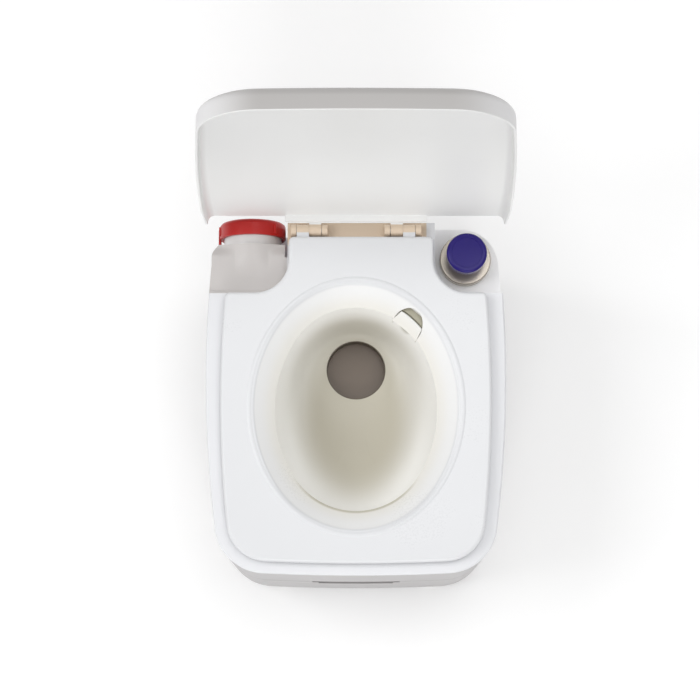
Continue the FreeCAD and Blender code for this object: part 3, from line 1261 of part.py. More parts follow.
# Latches: quarter-turn hooks in the side recesses, lying level while the tank may be lifted off.
def make_latch(side, sign):
    body = new_body(f"latch_{side}")
    near = f"({LATCH_FACE} + latch_lift)"
    start = near if sign == "" else f"(0 - {near} - latch_thickness)"
    half = "latch_width / 2"
    sketch = draw(new_sketch(body, "YZ_Plane", start), [
        (f"latch_y - {half}", f"{LATCH_Z} - {half}"), ("latch_y + latch_length", f"{LATCH_Z} - {half}"),
        ("latch_y + latch_length", f"{LATCH_Z} + {half} + latch_toe"),
        ("latch_y + latch_length - latch_toe_width", f"{LATCH_Z} + {half} + latch_toe"),
        ("latch_y + latch_length - latch_toe_width", f"{LATCH_Z} + {half}"),
        (f"latch_y - {half}", f"{LATCH_Z} + {half}"),
    ])
    pad(body, sketch, "latch_thickness")
    hole = new_sketch(body, "YZ_Plane", start)
    draw_circle(hole, "latch_y", LATCH_Z, "latch_pin + pin_play")
    pad(body, hole, "latch_thickness", "Pocket", reverse=True)
    return body


def make_latch_pins():
    length = "(2 * latch_lift + latch_thickness)"
    pins = []
    for side, start in (("left", f"(0 - {LATCH_FACE} - {length})"), ("right", LATCH_FACE)):
        pins.append(cylinder(f"{side}_latch_pin", "latch_pin", length, start, "latch_y", LATCH_Z,
                             (0, 1, 0), "90"))
    return fuse("latch_pins", pins)


def make_all():
    """Builds every piece and gives each its name."""
    pieces = {
        "tank_feet": make_feet(), "valve_base": make_valve_base(),
        "valve_cover": make_valve_cover(), "valve_screws": make_valve_screws(),
        "valve_seal": make_valve_seal(),
        "valve_blade": make_valve_blade(), "valve_handle": make_valve_handle(),
        "bowl_deck": make_bowl_deck(), "hinge_pins": make_hinge_pins(),
        "outlet_seal": make_outlet_seal(),
        "seat": make_seat(), "seat_bumpers": make_seat_bumpers(), "lid": make_lid(),
        "pump_barrel": make_pump_barrel(), "pump_collar": make_collar(),
        "intake_strainer": make_strainer(),
        "flush_hose": make_hose(), "flush_nozzle": make_nozzle(), "fill_neck": make_fill_neck(),
        "fill_cap": make_fill_cap(), "fill_gasket": make_fill_gasket(), "pour_spout": make_spout(),
        "spout_seal": make_spout_seal(), "spout_cap": make_spout_cap(),
        "spout_gasket": make_spout_gasket(),
        "vent_sleeve": make_vent_sleeve(), "vent_button": make_vent_button(),
        "latch_pins": make_latch_pins(),
    }
    pieces.update(make_waste_tank())
    pieces.update(make_pan())
    pieces.update(make_plunger())
    pieces["latch_left"], pieces["latch_right"] = both_sides(make_latch)
    pieces["pump_spring"] = coil("pump_spring", PUMP_X, "pump_y", SPRING_BASE, "spring_length",
                                 "spring_radius",
                                 "spring_wire", "spring_turns")
    pieces["vent_spring"] = coil("vent_spring", "vent_x", "spout_y", VENT_FLOOR, "2 * vent_stroke",
                                 "vent_radius - 2 * vent_wire", "vent_wire", "vent_turns")
    return pieces


def write(pieces):
    """Checks every object and writes each piece to its own file."""
    doc.recompute()
    failed = [item.Name for item in doc.Objects if "Invalid" in item.State or "Error" in item.State]
    failed += [name for name, item in pieces.items() if item.Shape.isNull() or not item.Shape.isValid()]
    if failed:
        raise RuntimeError("not built: " + ", ".join(failed))
    os.makedirs("parts", exist_ok=True)
    for name, item in pieces.items():
        item.Label = name
        item.Shape.exportStep(f"parts/{name}.step")


write(make_all())
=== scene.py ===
import json
import math
from collections import namedtuple

import bmesh
import bpy
from bpy.props import FloatProperty, FloatVectorProperty, IntProperty, PointerProperty
from mathutils import Matrix, Vector


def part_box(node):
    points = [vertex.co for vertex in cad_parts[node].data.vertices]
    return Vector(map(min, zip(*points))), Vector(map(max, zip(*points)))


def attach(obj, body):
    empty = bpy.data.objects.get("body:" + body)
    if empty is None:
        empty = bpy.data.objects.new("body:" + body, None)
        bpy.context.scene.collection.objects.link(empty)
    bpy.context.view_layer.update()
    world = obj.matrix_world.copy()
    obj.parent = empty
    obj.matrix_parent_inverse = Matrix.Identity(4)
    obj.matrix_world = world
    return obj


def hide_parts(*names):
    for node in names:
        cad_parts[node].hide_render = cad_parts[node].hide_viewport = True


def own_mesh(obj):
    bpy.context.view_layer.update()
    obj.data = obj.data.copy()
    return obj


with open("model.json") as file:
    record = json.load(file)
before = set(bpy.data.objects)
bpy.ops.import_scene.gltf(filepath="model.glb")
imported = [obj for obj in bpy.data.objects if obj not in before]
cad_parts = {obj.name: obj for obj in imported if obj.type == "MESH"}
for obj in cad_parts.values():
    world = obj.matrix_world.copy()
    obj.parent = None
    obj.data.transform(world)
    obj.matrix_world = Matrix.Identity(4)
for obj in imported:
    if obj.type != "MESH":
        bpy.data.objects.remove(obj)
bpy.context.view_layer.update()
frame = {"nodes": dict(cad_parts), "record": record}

bl_info = {
    "name": "Portable Toilet",
    "version": (1, 0, 0),
    "blender": (4, 5, 0),
    "location": "3D View > Sidebar > Toilet",
    "description": "Builds the moulded shells, paints and stage of a portable toilet round its CAD parts",
    "category": "Add Mesh",
}

SEAT_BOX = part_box("seat")
CAP_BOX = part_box("fill_cap")
KNOB_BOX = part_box("pump_knob")
PIN_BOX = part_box("hinge_pins")
NOZZLE_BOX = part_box("flush_nozzle")
SLOTS = {part["node"]: part["material_slot"] for part in frame["record"]["subparts"]}

# The lid is built closed and stands open by this angle in the frame.
LID_OPEN = math.radians(96.0)
QUARTER_TURN = math.radians(90.0)
FULL_TURN = 2 * math.pi
# Small distances in metres: to tell what lies on a plane or a circle, and to merge doubles.
TOUCH = 1e-5
WELD = 1e-6


def size(label, text, value):
    """A length that a user may change, in metres."""
    return FloatProperty(name=label, description=text, default=value, unit="LENGTH", precision=4)


def share(label, text, value):
    """A share of a whole that a user may change."""
    return FloatProperty(name=label, description=text, default=value, min=0.1, max=1.0, subtype="FACTOR")


def turn(label, text, degrees):
    """An angle that a user may change."""
    return FloatProperty(name=label, description=text, default=math.radians(degrees), subtype="ANGLE")


def tint(label, text, value):
    """A paint colour that a user may change."""
    return FloatVectorProperty(name=label, description=text, default=value, size=3, subtype="COLOR",
                               min=0, max=1)


def middle(box):
    """The middle of a node's box."""
    return (box[0] + box[1]) / 2


class Shape:
    """A mesh in the making, with the operators that the pieces share."""

    def __init__(self):
        self.bm = bmesh.new()

    def face(self, corners):
        """Starts a flat face from a few corners."""
        return self.bm.faces.new([self.bm.verts.new(corner) for corner in corners])

    def block(self, width, place):
        """Adds a block of a given width along each axis. Gives its vertices."""
        made = bmesh.ops.create_cube(self.bm, size=1.0)["verts"]
        bmesh.ops.scale(self.bm, verts=made, vec=width)
        bmesh.ops.translate(self.bm, verts=made, vec=place)
        return made

    def oval(self, half_width, half_length, y, z, segments=128):
        """Adds a level oval. Gives its edges."""
        made = bmesh.ops.create_circle(self.bm, segments=segments, radius=1.0)["verts"]
        bmesh.ops.scale(self.bm, verts=made, vec=(half_width, half_length, 1.0))
        bmesh.ops.translate(self.bm, verts=made, vec=(0.0, y, z))
        return self.edges_among(made)

    def edges_among(self, verts):
        """The edges whose two ends are both among the given vertices."""
        known = set(verts)
        return [edge for edge in self.bm.edges if all(vert in known for vert in edge.verts)]

    def edges_where(self, test):
        """The edges whose middle passes a test."""
        return [edge for edge in self.bm.edges if test((edge.verts[0].co + edge.verts[1].co) / 2)]

    def edges_over(self, degrees):
        """The edges whose two faces turn by more than an angle."""
        limit = math.radians(degrees)
        return [edge for edge in self.bm.edges if edge.calc_face_angle(0) > limit]

    def circle(self, centre, radius, height):
        """The edges of a level circle."""
        return [edge for edge in self.bm.edges if all(
            abs(vert.co.z - height) < TOUCH and abs((vert.co.xy - centre).length - radius) < TOUCH
            for vert in edge.verts)]

    def round_corners(self, test, radius, segments):
        """Rounds the corners of a flat face that pass a test."""
        for corner in [vert for vert in self.bm.verts if test(vert.co)]:
            one, other = (edge.other_vert(corner).co - corner.co for edge in corner.link_edges)
            reach = radius / math.tan(one.angle(other) / 2)
            bmesh.ops.bevel(self.bm, geom=[corner], offset=reach, offset_type="OFFSET", affect="VERTICES",
                            segments=segments, profile=0.5, material=-1)

    def bevel(self, edges, radius, segments):
        """Rounds edges."""
        bmesh.ops.bevel(self.bm, geom=edges, offset=radius, offset_type="OFFSET", affect="EDGES",
                        segments=segments, profile=0.5, material=-1, clamp_overlap=True)

    def divide(self, longest):
        """Cuts edges that are longer than a limit."""
        for edge in list(self.bm.edges):
            cuts = int(edge.calc_length() / longest)
            if cuts:
                bmesh.ops.subdivide_edges(self.bm, edges=[edge], cuts=cuts)

    def drop(self, edges, by):
        """Extrudes edges and moves the new ones."""
        new = bmesh.ops.extrude_edge_only(self.bm, edges=edges)["geom"]
        verts = [item for item in new if isinstance(item, bmesh.types.BMVert)]
        bmesh.ops.translate(self.bm, verts=verts, vec=by)

    def bridge(self, one, other):
        """Joins two edge loops."""
        bmesh.ops.bridge_loops(self.bm, edges=one + other)

    def cut(self, point, normal):
        """Cuts along a plane and drops what lies on the side of its normal."""
        everything = [*self.bm.verts, *self.bm.edges, *self.bm.faces]
        bmesh.ops.bisect_plane(self.bm, geom=everything, plane_co=point, plane_no=normal, clear_outer=True)

    def warp(self, change):
        """Moves every vertex by a rule."""
        for vert in self.bm.verts:
            vert.co = change(vert.co.copy())

    def spin(self, profile, centre, segments):
        """Spins a half profile of radius and height pairs round an upright axis. Gives the vertices."""
        known = set(self.bm.verts)
        verts = [self.bm.verts.new((radius, 0, height)) for radius, height in profile]
        edges = [self.bm.edges.new(pair) for pair in zip(verts, verts[1:])]
        bmesh.ops.spin(self.bm, geom=verts + edges, cent=(0, 0, 0), axis=(0, 0, 1), angle=FULL_TURN,
                       steps=segments, use_merge=True)
        made = [vert for vert in self.bm.verts if vert not in known]
        bmesh.ops.translate(self.bm, verts=made, vec=centre)
        return made

    def thicken(self, depth):
        """Gives every face a depth."""
        bmesh.ops.solidify(self.bm, geom=self.bm.faces[:], thickness=depth)

    def face_out(self):
        """Points the faces outwards."""
        bmesh.ops.recalc_face_normals(self.bm, faces=self.bm.faces)

    def weld(self):
        """Merges doubles and points the faces outwards."""
        bmesh.ops.remove_doubles(self.bm, verts=self.bm.verts, dist=WELD)
        self.face_out()

    def smooth(self, degrees):
        """Shades smooth, apart from edges sharper than an angle."""
        for face in self.bm.faces:
            face.smooth = True
        for edge in self.bm.edges:
            edge.smooth = len(edge.link_faces) == 2 and edge.calc_face_angle(0) < math.radians(degrees)

    def piece(self, context, name, body, slot, replaces=(), sharp=35.0, weighted=True):
        """Finishes the mesh as an object that rides a body and has a slot's paint."""
        # Recalculation can leave a thin bent wall facing inwards, which its volume shows.
        if self.bm.calc_volume(signed=True) < 0:
            bmesh.ops.reverse_faces(self.bm, faces=self.bm.faces)
        self.smooth(sharp)
        mesh = bpy.data.meshes.new(name)
        self.bm.to_mesh(mesh)
        self.bm.free()
        item = bpy.data.objects.new(name, mesh)
        context.scene.collection.objects.link(item)
        mesh.materials.append(paints(context)[slot])
        if weighted:
            shade = item.modifiers.new("Even shading", "WEIGHTED_NORMAL")
            shade.keep_sharp = True
        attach(item, body)
        if replaces:
            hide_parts(*replaces)
        return item


class Value:
    """A shader socket that takes Python's arithmetic, each step a Math node."""

    def __init__(self, graph, socket):
        self.graph = graph
        self.socket = socket

    def math(self, operation, *others):
        """One Math node on this value and others."""
        inputs = dict(enumerate([self, *others]))
        return self.graph.node("ShaderNodeMath", {"operation": operation}, inputs, 0)

    def __add__(self, other):
        return self.math("ADD", other)

    def __sub__(self, other):
        return self.math("SUBTRACT", other)

    def __mul__(self, other):
        return self.math("MULTIPLY", other)


Oval = namedtuple("Oval", "half_width half_length middle")
Noise = namedtuple("Noise", "scale detail roughness distortion", defaults=(3.0, 0.55, 0.0))


class Paint:
    """A material with a principled shader and the nodes that vary it."""

    def __init__(self, name):
        self.material = bpy.data.materials.new(name)
        self.material.use_nodes = True
        self.tree = self.material.node_tree
        self.shader = self.tree.nodes["Principled BSDF"]
        self.place = self.node("ShaderNodeTexCoord", {}, {}, "Object")

    def node(self, kind, settings, inputs, output):
        """Adds a node with its settings and the values or links of its sockets. Gives one output."""
        node = self.tree.nodes.new(kind)
        for key, value in settings.items():
            setattr(node, key, value)
        for key, value in inputs.items():
            self.feed(node.inputs[key], value)
        return Value(self, node.outputs[output])

    def feed(self, socket, value):
        """Links a socket, or sets its value."""
        if isinstance(value, Value):
            self.tree.links.new(value.socket, socket)
        else:
            socket.default_value = value

    def noise(self, noise):
        """A noise over the piece, about 0.5 on average."""
        return self.node("ShaderNodeTexNoise", {}, {
            "Vector": self.place, "Scale": noise.scale, "Detail": noise.detail, "Roughness": noise.roughness,
            "Distortion": noise.distortion}, "Fac")

    def fade(self, value, span):
        """Runs smoothly from 0 at the start of a span of a value to 1 at its end."""
        start, end = span
        return self.node("ShaderNodeMapRange", {"interpolation_type": "SMOOTHSTEP"}, {
            "Value": value, "From Min": start, "From Max": end, "To Min": 0.0, "To Max": 1.0}, "Result")

    def mix(self, factor, one, other):
        """Mixes two colours."""
        node = self.tree.nodes.new("ShaderNodeMix")
        node.data_type = "RGBA"
        self.feed(node.inputs["Factor"], factor)
        for socket, colour in zip([s for s in node.inputs if s.type == "RGBA"], (one, other)):
            self.feed(socket, colour if isinstance(colour, Value) else (*colour, 1.0))
        return Value(self, next(s for s in node.outputs if s.type == "RGBA"))

    def axis(self, letter):
        """One coordinate of a point of the piece."""
        return self.node("ShaderNodeSeparateXYZ", {}, {"Vector": self.place}, letter)

    def length(self, one, other):
        """The length of a line from its parts along two axes."""
        return (one * one + other * other).math("SQRT")

    def reach(self, x, y):
        """How far a point is from an upright line."""
        return self.length(self.axis("X") - x, self.axis("Y") - y)

    def inside(self, oval):
        """Below 1 inside an upright oval and above 1 outside it."""
        across = self.axis("X") * (1 / oval.half_width)
        along = (self.axis("Y") - oval.middle) * (1 / oval.half_length)
        return across * across + along * along

    def set(self, constants):
        """Sets the shader's own sockets."""
        for key, value in constants.items():
            self.shader.inputs[key].default_value = value

    def vary(self, socket, value):
        """Feeds one of the shader's sockets."""
        self.feed(self.shader.inputs[socket], value)

    def bump(self, value, strength, distance):
        """Raises the surface by a value."""
        inputs = {"Strength": strength, "Distance": distance, "Height": value}
        self.vary("Normal", self.node("ShaderNodeBump", {}, inputs, "Normal"))


# Noises of the plastics and the span of each that shows. Grain is a bump, in metres.
MOTTLE = Noise(7.0, 4.0)
MOTTLE_SPAN = (0.3, 0.72)
GRIME = Noise(38.0, 6.0, 0.7, 0.8)
GRIME_SPAN = (0.58, 0.85)
STAIN_SHADE = (0.80, 0.74, 0.62)
RUBBING = Noise(11.0, 2.0, 0.4)
RUBBING_SPAN = (0.3, 0.75)
SPECKLE = Noise(420.0, 2.0)
ROUGHNESS_SWING = 0.05
GRAIN = Noise(1100.0, 2.0, 0.6)
GRAIN_STRENGTH = 0.12
GRAIN_DEPTH = 0.0003


def plastic(name, colour, rough, mottle=0.016, grime=0.0, gloss=0.4, metal=0.0, zones=()):
    """Moulded plastic with a fine grain, a faint mottle, worn patches of gloss, grime and zones of colour,
    many of them painted light and shade.
    """
    paint = Paint(name)
    dark = tuple(channel * (1 - mottle) for channel in colour)
    body = paint.mix(paint.fade(paint.noise(MOTTLE), MOTTLE_SPAN), dark, colour)
    for mask, tone in zones:
        body = paint.mix(mask(paint), body, tone)
    if grime:
        stain = tuple(channel * shade for channel, shade in zip(colour, STAIN_SHADE))
        body = paint.mix(paint.fade(paint.noise(GRIME), GRIME_SPAN) * grime, body, stain)
    paint.vary("Base Color", body)
    swing = paint.fade(paint.noise(RUBBING), RUBBING_SPAN) + paint.noise(SPECKLE)
    paint.vary("Roughness", swing * ROUGHNESS_SWING + (rough - ROUGHNESS_SWING))
    paint.bump(paint.noise(GRAIN), GRAIN_STRENGTH, GRAIN_DEPTH)
    paint.set({"Specular IOR Level": gloss, "Metallic": metal})
    return paint.material


# Most of these zones are painted light and shade, standing in for how light falls on the mouldings.
# Zones of the mouldings. Each span says where a zone starts to show and where it is full, in metres in the
# frame, or for an oval as the square of a share of its width.
SEAT_OPENING = Oval(0.1275, 0.154, -0.0435)
OPENING_SPAN = (1.0, 0.93)
FLANGE_TOP = (0.321, 0.318)
FLANGE_LOW = (0.315, 0.294)
LIP_LOW = (0.2990, 0.2962)
LIP_AHEAD = (-0.125, -0.160)
BOWL_RIM = Oval(0.126, 0.1525, -0.0435)
RIM_SPAN = (1.0, 0.9)
RIM_TOP = (0.303, 0.286)
BOWL_FLOOR = Oval(0.076, 0.130, -0.032)
FLOOR_SPAN = (1.42, 0.30)
FLOOR_TOP = (0.292, 0.215)
OUTLET_BEHIND = 0.023
OUTLET_SPAN = (0.0385, 0.0376)
OUTLET_TOP = (0.19, 0.185)
TROUGH_ACROSS = (0.0885, 0.0865)
TROUGH_BEHIND = (0.158, 0.164)
TROUGH_LOW = (0.277, 0.283)
KNUCKLE_SPAN = (0.0081, 0.0076)
LID_PALE = (0.62, 0.36)
CORNER_ACROSS = (0.100, 0.165)
CORNER_LOW = (0.58, 0.66)
CORNER_DEPTH = (0.0200, 0.0120)
NOZZLE_SHADOW_PLACE = (0.074, 0.0735)
NOZZLE_SHADOW_SPAN = (0.0225, 0.0185)
NOZZLE_SHADOW_INSIDE = (1.03, 0.97)
SHOULDER_LEFT = (-0.0845, -0.0865)
SHOULDER_BEHIND = (0.0985, 0.1015)
SHOULDER_LOW = (0.280, 0.288)
WELL_RIGHT = (0.092, 0.100)
WELL_BEHIND = (0.094, 0.102)
WELL_TOP = (0.2995, 0.297)


def in_opening(paint):
    """The sloping flange inside the seat, which its zone paints brighter than the seat: painted light."""
    return paint.fade(paint.inside(SEAT_OPENING), OPENING_SPAN) * paint.fade(paint.axis("Z"), FLANGE_TOP)


def low_on_flange(paint):
    """The lower part of that flange, towards the bowl, which its zone paints a darker ivory: painted shade
    running into the bowl.
    """
    return in_opening(paint) * paint.fade(paint.axis("Z"), FLANGE_LOW)


def at_front_lip(paint):
    """The low edge of the flange in front, painted dark as a painted shadow line."""
    return paint.fade(paint.axis("Z"), LIP_LOW) * paint.fade(paint.axis("Y"), LIP_AHEAD)


def in_bowl(paint):
    """The inside of the bowl, below its rim, painted a bright ivory: the plastic's warm tint, with painted
    light on the steep walls.
    """
    return paint.fade(paint.inside(BOWL_RIM), RIM_SPAN) * paint.fade(paint.axis("Z"), RIM_TOP)


def on_bowl_floor(paint):
    """The long floor of the bowl, where water stands, painted darker as painted shade deep in the bowl."""
    return paint.fade(paint.inside(BOWL_FLOOR), FLOOR_SPAN) * paint.fade(paint.axis("Z"), FLOOR_TOP)


def at_outlet(paint):
    """The edge of the outlet, painted dark: painted shade down its bore."""
    return paint.fade(paint.reach(0.0, OUTLET_BEHIND), OUTLET_SPAN) * paint.fade(paint.axis("Z"), OUTLET_TOP)


def at_hinge(paint):
    """The trough under the hinge, between the pockets, painted beige: painted shade under the lid and seat.
    """
    across = paint.axis("X").math("ABSOLUTE")
    return (paint.fade(across, TROUGH_ACROSS) * paint.fade(paint.axis("Y"), TROUGH_BEHIND)
            * paint.fade(paint.axis("Z"), TROUGH_LOW))


def at_pin(paint):
    """The knuckles round the hinge pins, painted the same beige: painted shade in the hinge trough."""
    pin = middle(PIN_BOX)
    return paint.fade(paint.length(paint.axis("Y") - pin.y, paint.axis("Z") - pin.z), KNUCKLE_SPAN)


def low_on_lid(paint):
    """The inside of the lid towards its hinge, painted paler: painted light where the deck lights it from
    below.
    """
    return paint.fade(paint.axis("Z"), LID_PALE)


def on_lid_corner(paint):
    """The skirt at the lid's front corners, painted paler than its grey: painted light where the corners
    face the lamps.
    """
    pin = middle(PIN_BOX)
    across = paint.axis("X").math("ABSOLUTE")
    depth = ((paint.axis("Y") - pin.y) * math.sin(LID_OPEN)
             + (paint.axis("Z") - pin.z) * math.cos(LID_OPEN))
    return (paint.fade(across, CORNER_ACROSS) * paint.fade(paint.axis("Z"), CORNER_LOW)
            * paint.fade(depth, CORNER_DEPTH))


def by_nozzle(paint):
    """The rim behind the flush nozzle, inside the seat's opening, painted olive: painted shadow under the
    nozzle hood.
    """
    return paint.fade(paint.reach(*NOZZLE_SHADOW_PLACE), NOZZLE_SHADOW_SPAN) * paint.fade(paint.inside(BOWL_RIM), NOZZLE_SHADOW_INSIDE)


def on_shoulder(paint):
    """The shoulder ahead of the filler, painted grey: painted shade in its recess."""
    return (paint.fade(paint.axis("X"), SHOULDER_LEFT) * paint.fade(paint.axis("Y"), SHOULDER_BEHIND)
            * paint.fade(paint.axis("Z"), SHOULDER_LOW))


def in_pump_well(paint):
    """The well round the pump, painted brighter than the deck: painted light."""
    return (paint.fade(paint.axis("X"), WELL_RIGHT) * paint.fade(paint.axis("Y"), WELL_BEHIND)
            * paint.fade(paint.axis("Z"), WELL_TOP))


DUST = Noise(60.0, 6.0, 0.7)
DUST_SPAN = (0.45, 0.8)
DUST_SHARE = 0.5
DUST_GAIN = 1.5
DUST_LIFT = 0.03
DUST_ROUGHNESS = 0.15
RUBBER_ROUGHNESS = 0.62
RUBBER_GRAIN = Noise(700.0, 2.0)
RUBBER_STRENGTH = 0.3
RUBBER_DEPTH = 0.0004


def rubber(name, colour):
    """Matt rubber with a dusty bloom."""
    paint = Paint(name)
    dust = paint.fade(paint.noise(DUST), DUST_SPAN)
    pale = tuple(min(1.0, channel * DUST_GAIN + DUST_LIFT) for channel in colour)
    paint.vary("Base Color", paint.mix(dust * DUST_SHARE, colour, pale))
    paint.vary("Roughness", dust * DUST_ROUGHNESS + RUBBER_ROUGHNESS)
    paint.bump(paint.noise(RUBBER_GRAIN), RUBBER_STRENGTH, RUBBER_DEPTH)
    return paint.material


LINES = {"Scale": 420.0, "Distortion": 3.0, "Detail": 2.0}
LINES_STRENGTH = 0.15
LINES_DEPTH = 0.0002
LINES_ROUGHNESS = 0.08
TARNISH = Noise(45.0, 5.0, 0.65)
TARNISH_SPAN = (0.5, 0.8)
TARNISH_SHARE = 0.6
TARNISH_SHADE = (0.7, 0.6, 0.48)
TARNISH_ROUGHNESS = 0.2
STEEL_ROUGHNESS = 0.24


def steel(name, colour):
    """Drawn steel wire and turned pins, with fine lines and a little tarnish."""
    paint = Paint(name)
    lines = paint.node("ShaderNodeTexWave", {"wave_type": "BANDS", "bands_direction": "Z"},
                       {"Vector": paint.place, **LINES}, "Fac")
    tarnish = paint.fade(paint.noise(TARNISH), TARNISH_SPAN)
    brown = tuple(channel * shade for channel, shade in zip(colour, TARNISH_SHADE))
    paint.vary("Base Color", paint.mix(tarnish * TARNISH_SHARE, colour, brown))
    paint.vary("Roughness", lines * LINES_ROUGHNESS + tarnish * TARNISH_ROUGHNESS + STEEL_ROUGHNESS)
    paint.bump(lines, LINES_STRENGTH, LINES_DEPTH)
    paint.set({"Metallic": 1.0})
    return paint.material


class ToiletColours(bpy.types.PropertyGroup):
    """Colours of the plastics, the rubber and the steel, among them painted light and shade on the
    mouldings.
    """
    # Painted shade: the tank and flush pan are painted a grey well below the deck's white, for the shade on
    # their upright faces.
    shell: tint("Tank white", "Blow-moulded tank and flush pan", (0.425, 0.412, 0.412))
    deck: tint("Deck white", "Moulded bowl and deck", (0.74, 0.745, 0.765))
    seat: tint("Seat white", "Seat plate", (0.715, 0.722, 0.738))
    # Painted light: the flange is painted brighter than the seat, for light on its slope.
    flange: tint("Flange white", "Sloping flange inside the seat", (0.84, 0.842, 0.842))
    # Painted shade: the flange's foot is painted a darker ivory that runs into the shade of the bowl.
    inner: tint("Flange ivory", "Lower edge of that flange", (0.80, 0.785, 0.74))
    lid: tint("Lid white", "Inside of the lid", (0.755, 0.755, 0.75))
    # Painted light: the lid's inside is painted paler towards its hinge, for light cast up from the deck.
    pale: tint("Lid pale", "Inside of the lid near its hinge", (0.88, 0.88, 0.872))
    # Painted shade: the lid's outside is painted grey though the lid is white, for the shade on its skirt.
    outside: tint("Lid grey", "Outside of the lid", (0.44, 0.427, 0.418))
    # Painted light: the lid's front corners are painted paler than the grey, where they face the lamps.
    corner_light: tint("Lid corners", "Skirt at the lid's front corners", (0.74, 0.735, 0.74))
    # The bowl's warm tint is the plastic's own; its brightness above the deck's white is painted light on
    # the steep walls.
    ivory: tint("Bowl ivory", "Wall of the bowl", (0.97, 0.965, 0.94))
    # Painted shade: the bowl's deep floor and a thin line along the flange's low front edge are painted
    # darker.
    trough: tint("Bowl floor", "Lowest part of the bowl", (0.53, 0.50, 0.415))
    # Painted shade: the trough under the hinge and the knuckles are painted beige, for shade under the lid
    # and seat.
    beige: tint("Hinge beige", "Trough under the hinge", (0.72, 0.58, 0.44))
    # Painted shade: the shoulder ahead of the filler is painted grey, for shade in its recess.
    shoulder: tint("Shoulder grey", "Shoulder ahead of the filler", (0.565, 0.538, 0.525))
    # Painted shadow: the rim beside the flush nozzle is painted olive, for the shadow under the nozzle hood.
    nozzle_shadow: tint("Shadow olive", "Rim beside the flush nozzle", (0.42, 0.40, 0.31))
    # Painted light: the well round the pump is painted brighter than the deck, for light in the well.
    well: tint("Well white", "Well round the pump", (0.95, 0.95, 0.96))
    cap: tint("Cap red", "Filler cap", (0.47, 0.011, 0.009))
    knob: tint("Pump blue", "Pump knob", (0.020, 0.011, 0.155))
    silver: tint("Pump grey", "Pump collar and plunger", (0.53, 0.48, 0.415))
    valve: tint("Valve grey", "Slide valve", (0.225, 0.18, 0.145))
    spout: tint("Spout grey", "Pour-out spout", (0.34, 0.33, 0.32))
    foot: tint("Foot white", "Rubber feet", (0.62, 0.61, 0.58))
    bumper: tint("Bumper grey", "Rubber bumpers", (0.30, 0.30, 0.30))
    seal: tint("Seal black", "Rubber seals", (0.022, 0.020, 0.018))
    # Painted shade: the edge of the outlet is painted dark brown, for the shade down its bore.
    rim: tint("Outlet brown", "Dark edge of the outlet", (0.085, 0.065, 0.045))
    steel: tint("Steel", "Pins, screws and springs", (0.62, 0.60, 0.57))


PAINTS = {}


def paints(context):
    """The paints of the whole object by slot, made once."""
    if PAINTS:
        return PAINTS
    tones = context.scene.toilet_colours
    # Every zone here paints light or shade into the colour: painted shade on the bowl floor, outlet, hinge
    # trough, knuckles, shoulder, nozzle rim, flange foot and front lip, painted light on the bowl walls,
    # flange, pump well and lid.
    deck_zones = ((in_bowl, tones.ivory), (on_bowl_floor, tones.trough), (at_outlet, tones.rim),
                  (at_hinge, tones.beige), (on_shoulder, tones.shoulder), (in_pump_well, tones.well),
                  (by_nozzle, tones.nozzle_shadow))
    seat_zones = ((in_opening, tones.flange), (low_on_flange, tones.inner), (at_front_lip, tones.trough),
                  (at_pin, tones.beige))
    lid_zones = ((low_on_lid, tones.pale), (at_pin, tones.beige))
    outside_zones = ((on_lid_corner, tones.corner_light),)
    PAINTS.update(
        # Painted shade: the tank's grey paint stands in for the shade on its upright faces.
        tank_white=plastic("Tank white", tones.shell, rough=0.42, grime=0.10),
        deck_white=plastic("Deck white", tones.deck, rough=0.36, grime=0.06, zones=deck_zones),
        seat_white=plastic("Plate white", tones.seat, rough=0.30, zones=seat_zones),
        lid_white=plastic("Lid white", tones.lid, rough=0.36, zones=lid_zones),
        lid_outside=plastic("Lid grey", tones.outside, rough=0.40, grime=0.08, zones=outside_zones),
        feet_white=rubber("Foot white", tones.foot),
        bumper_grey=rubber("Bumper grey", tones.bumper),
        fitting_white=plastic("Fitting white", tones.lid, rough=0.38),
        valve_grey=plastic("Valve grey", tones.valve, rough=0.40, mottle=0.12),
        spout_grey=plastic("Spout grey", tones.spout, rough=0.42),
        cap_red=plastic("Cap red", tones.cap, rough=0.32, mottle=0.08),
        pump_blue=plastic("Pump blue", tones.knob, rough=0.22, mottle=0.08, gloss=0.22),
        pump_grey=plastic("Pump grey", tones.silver, rough=0.26, gloss=0.6, metal=0.7),
        seal_black=rubber("Seal black", tones.seal),
        steel=steel("Steel", tones.steel))
    return PAINTS


class TOILET_OT_paint(bpy.types.Operator):
    """Paints the parts that keep their CAD shape"""
    bl_idname = "toilet.paint"
    bl_label = "Paint the parts"

    def execute(self, context):
        finish = paints(context)
        for name, item in frame["nodes"].items():
            item.data.materials.clear()
            item.data.materials.append(finish[SLOTS[name]])
        return {"FINISHED"}


def clamp(value):
    """Keeps a value between 0 and 1."""
    return max(0.0, min(1.0, value))


def ease(value):
    """Runs smoothly from 0 to 1."""
    value = clamp(value)
    return value * value * (3 - 2 * value)


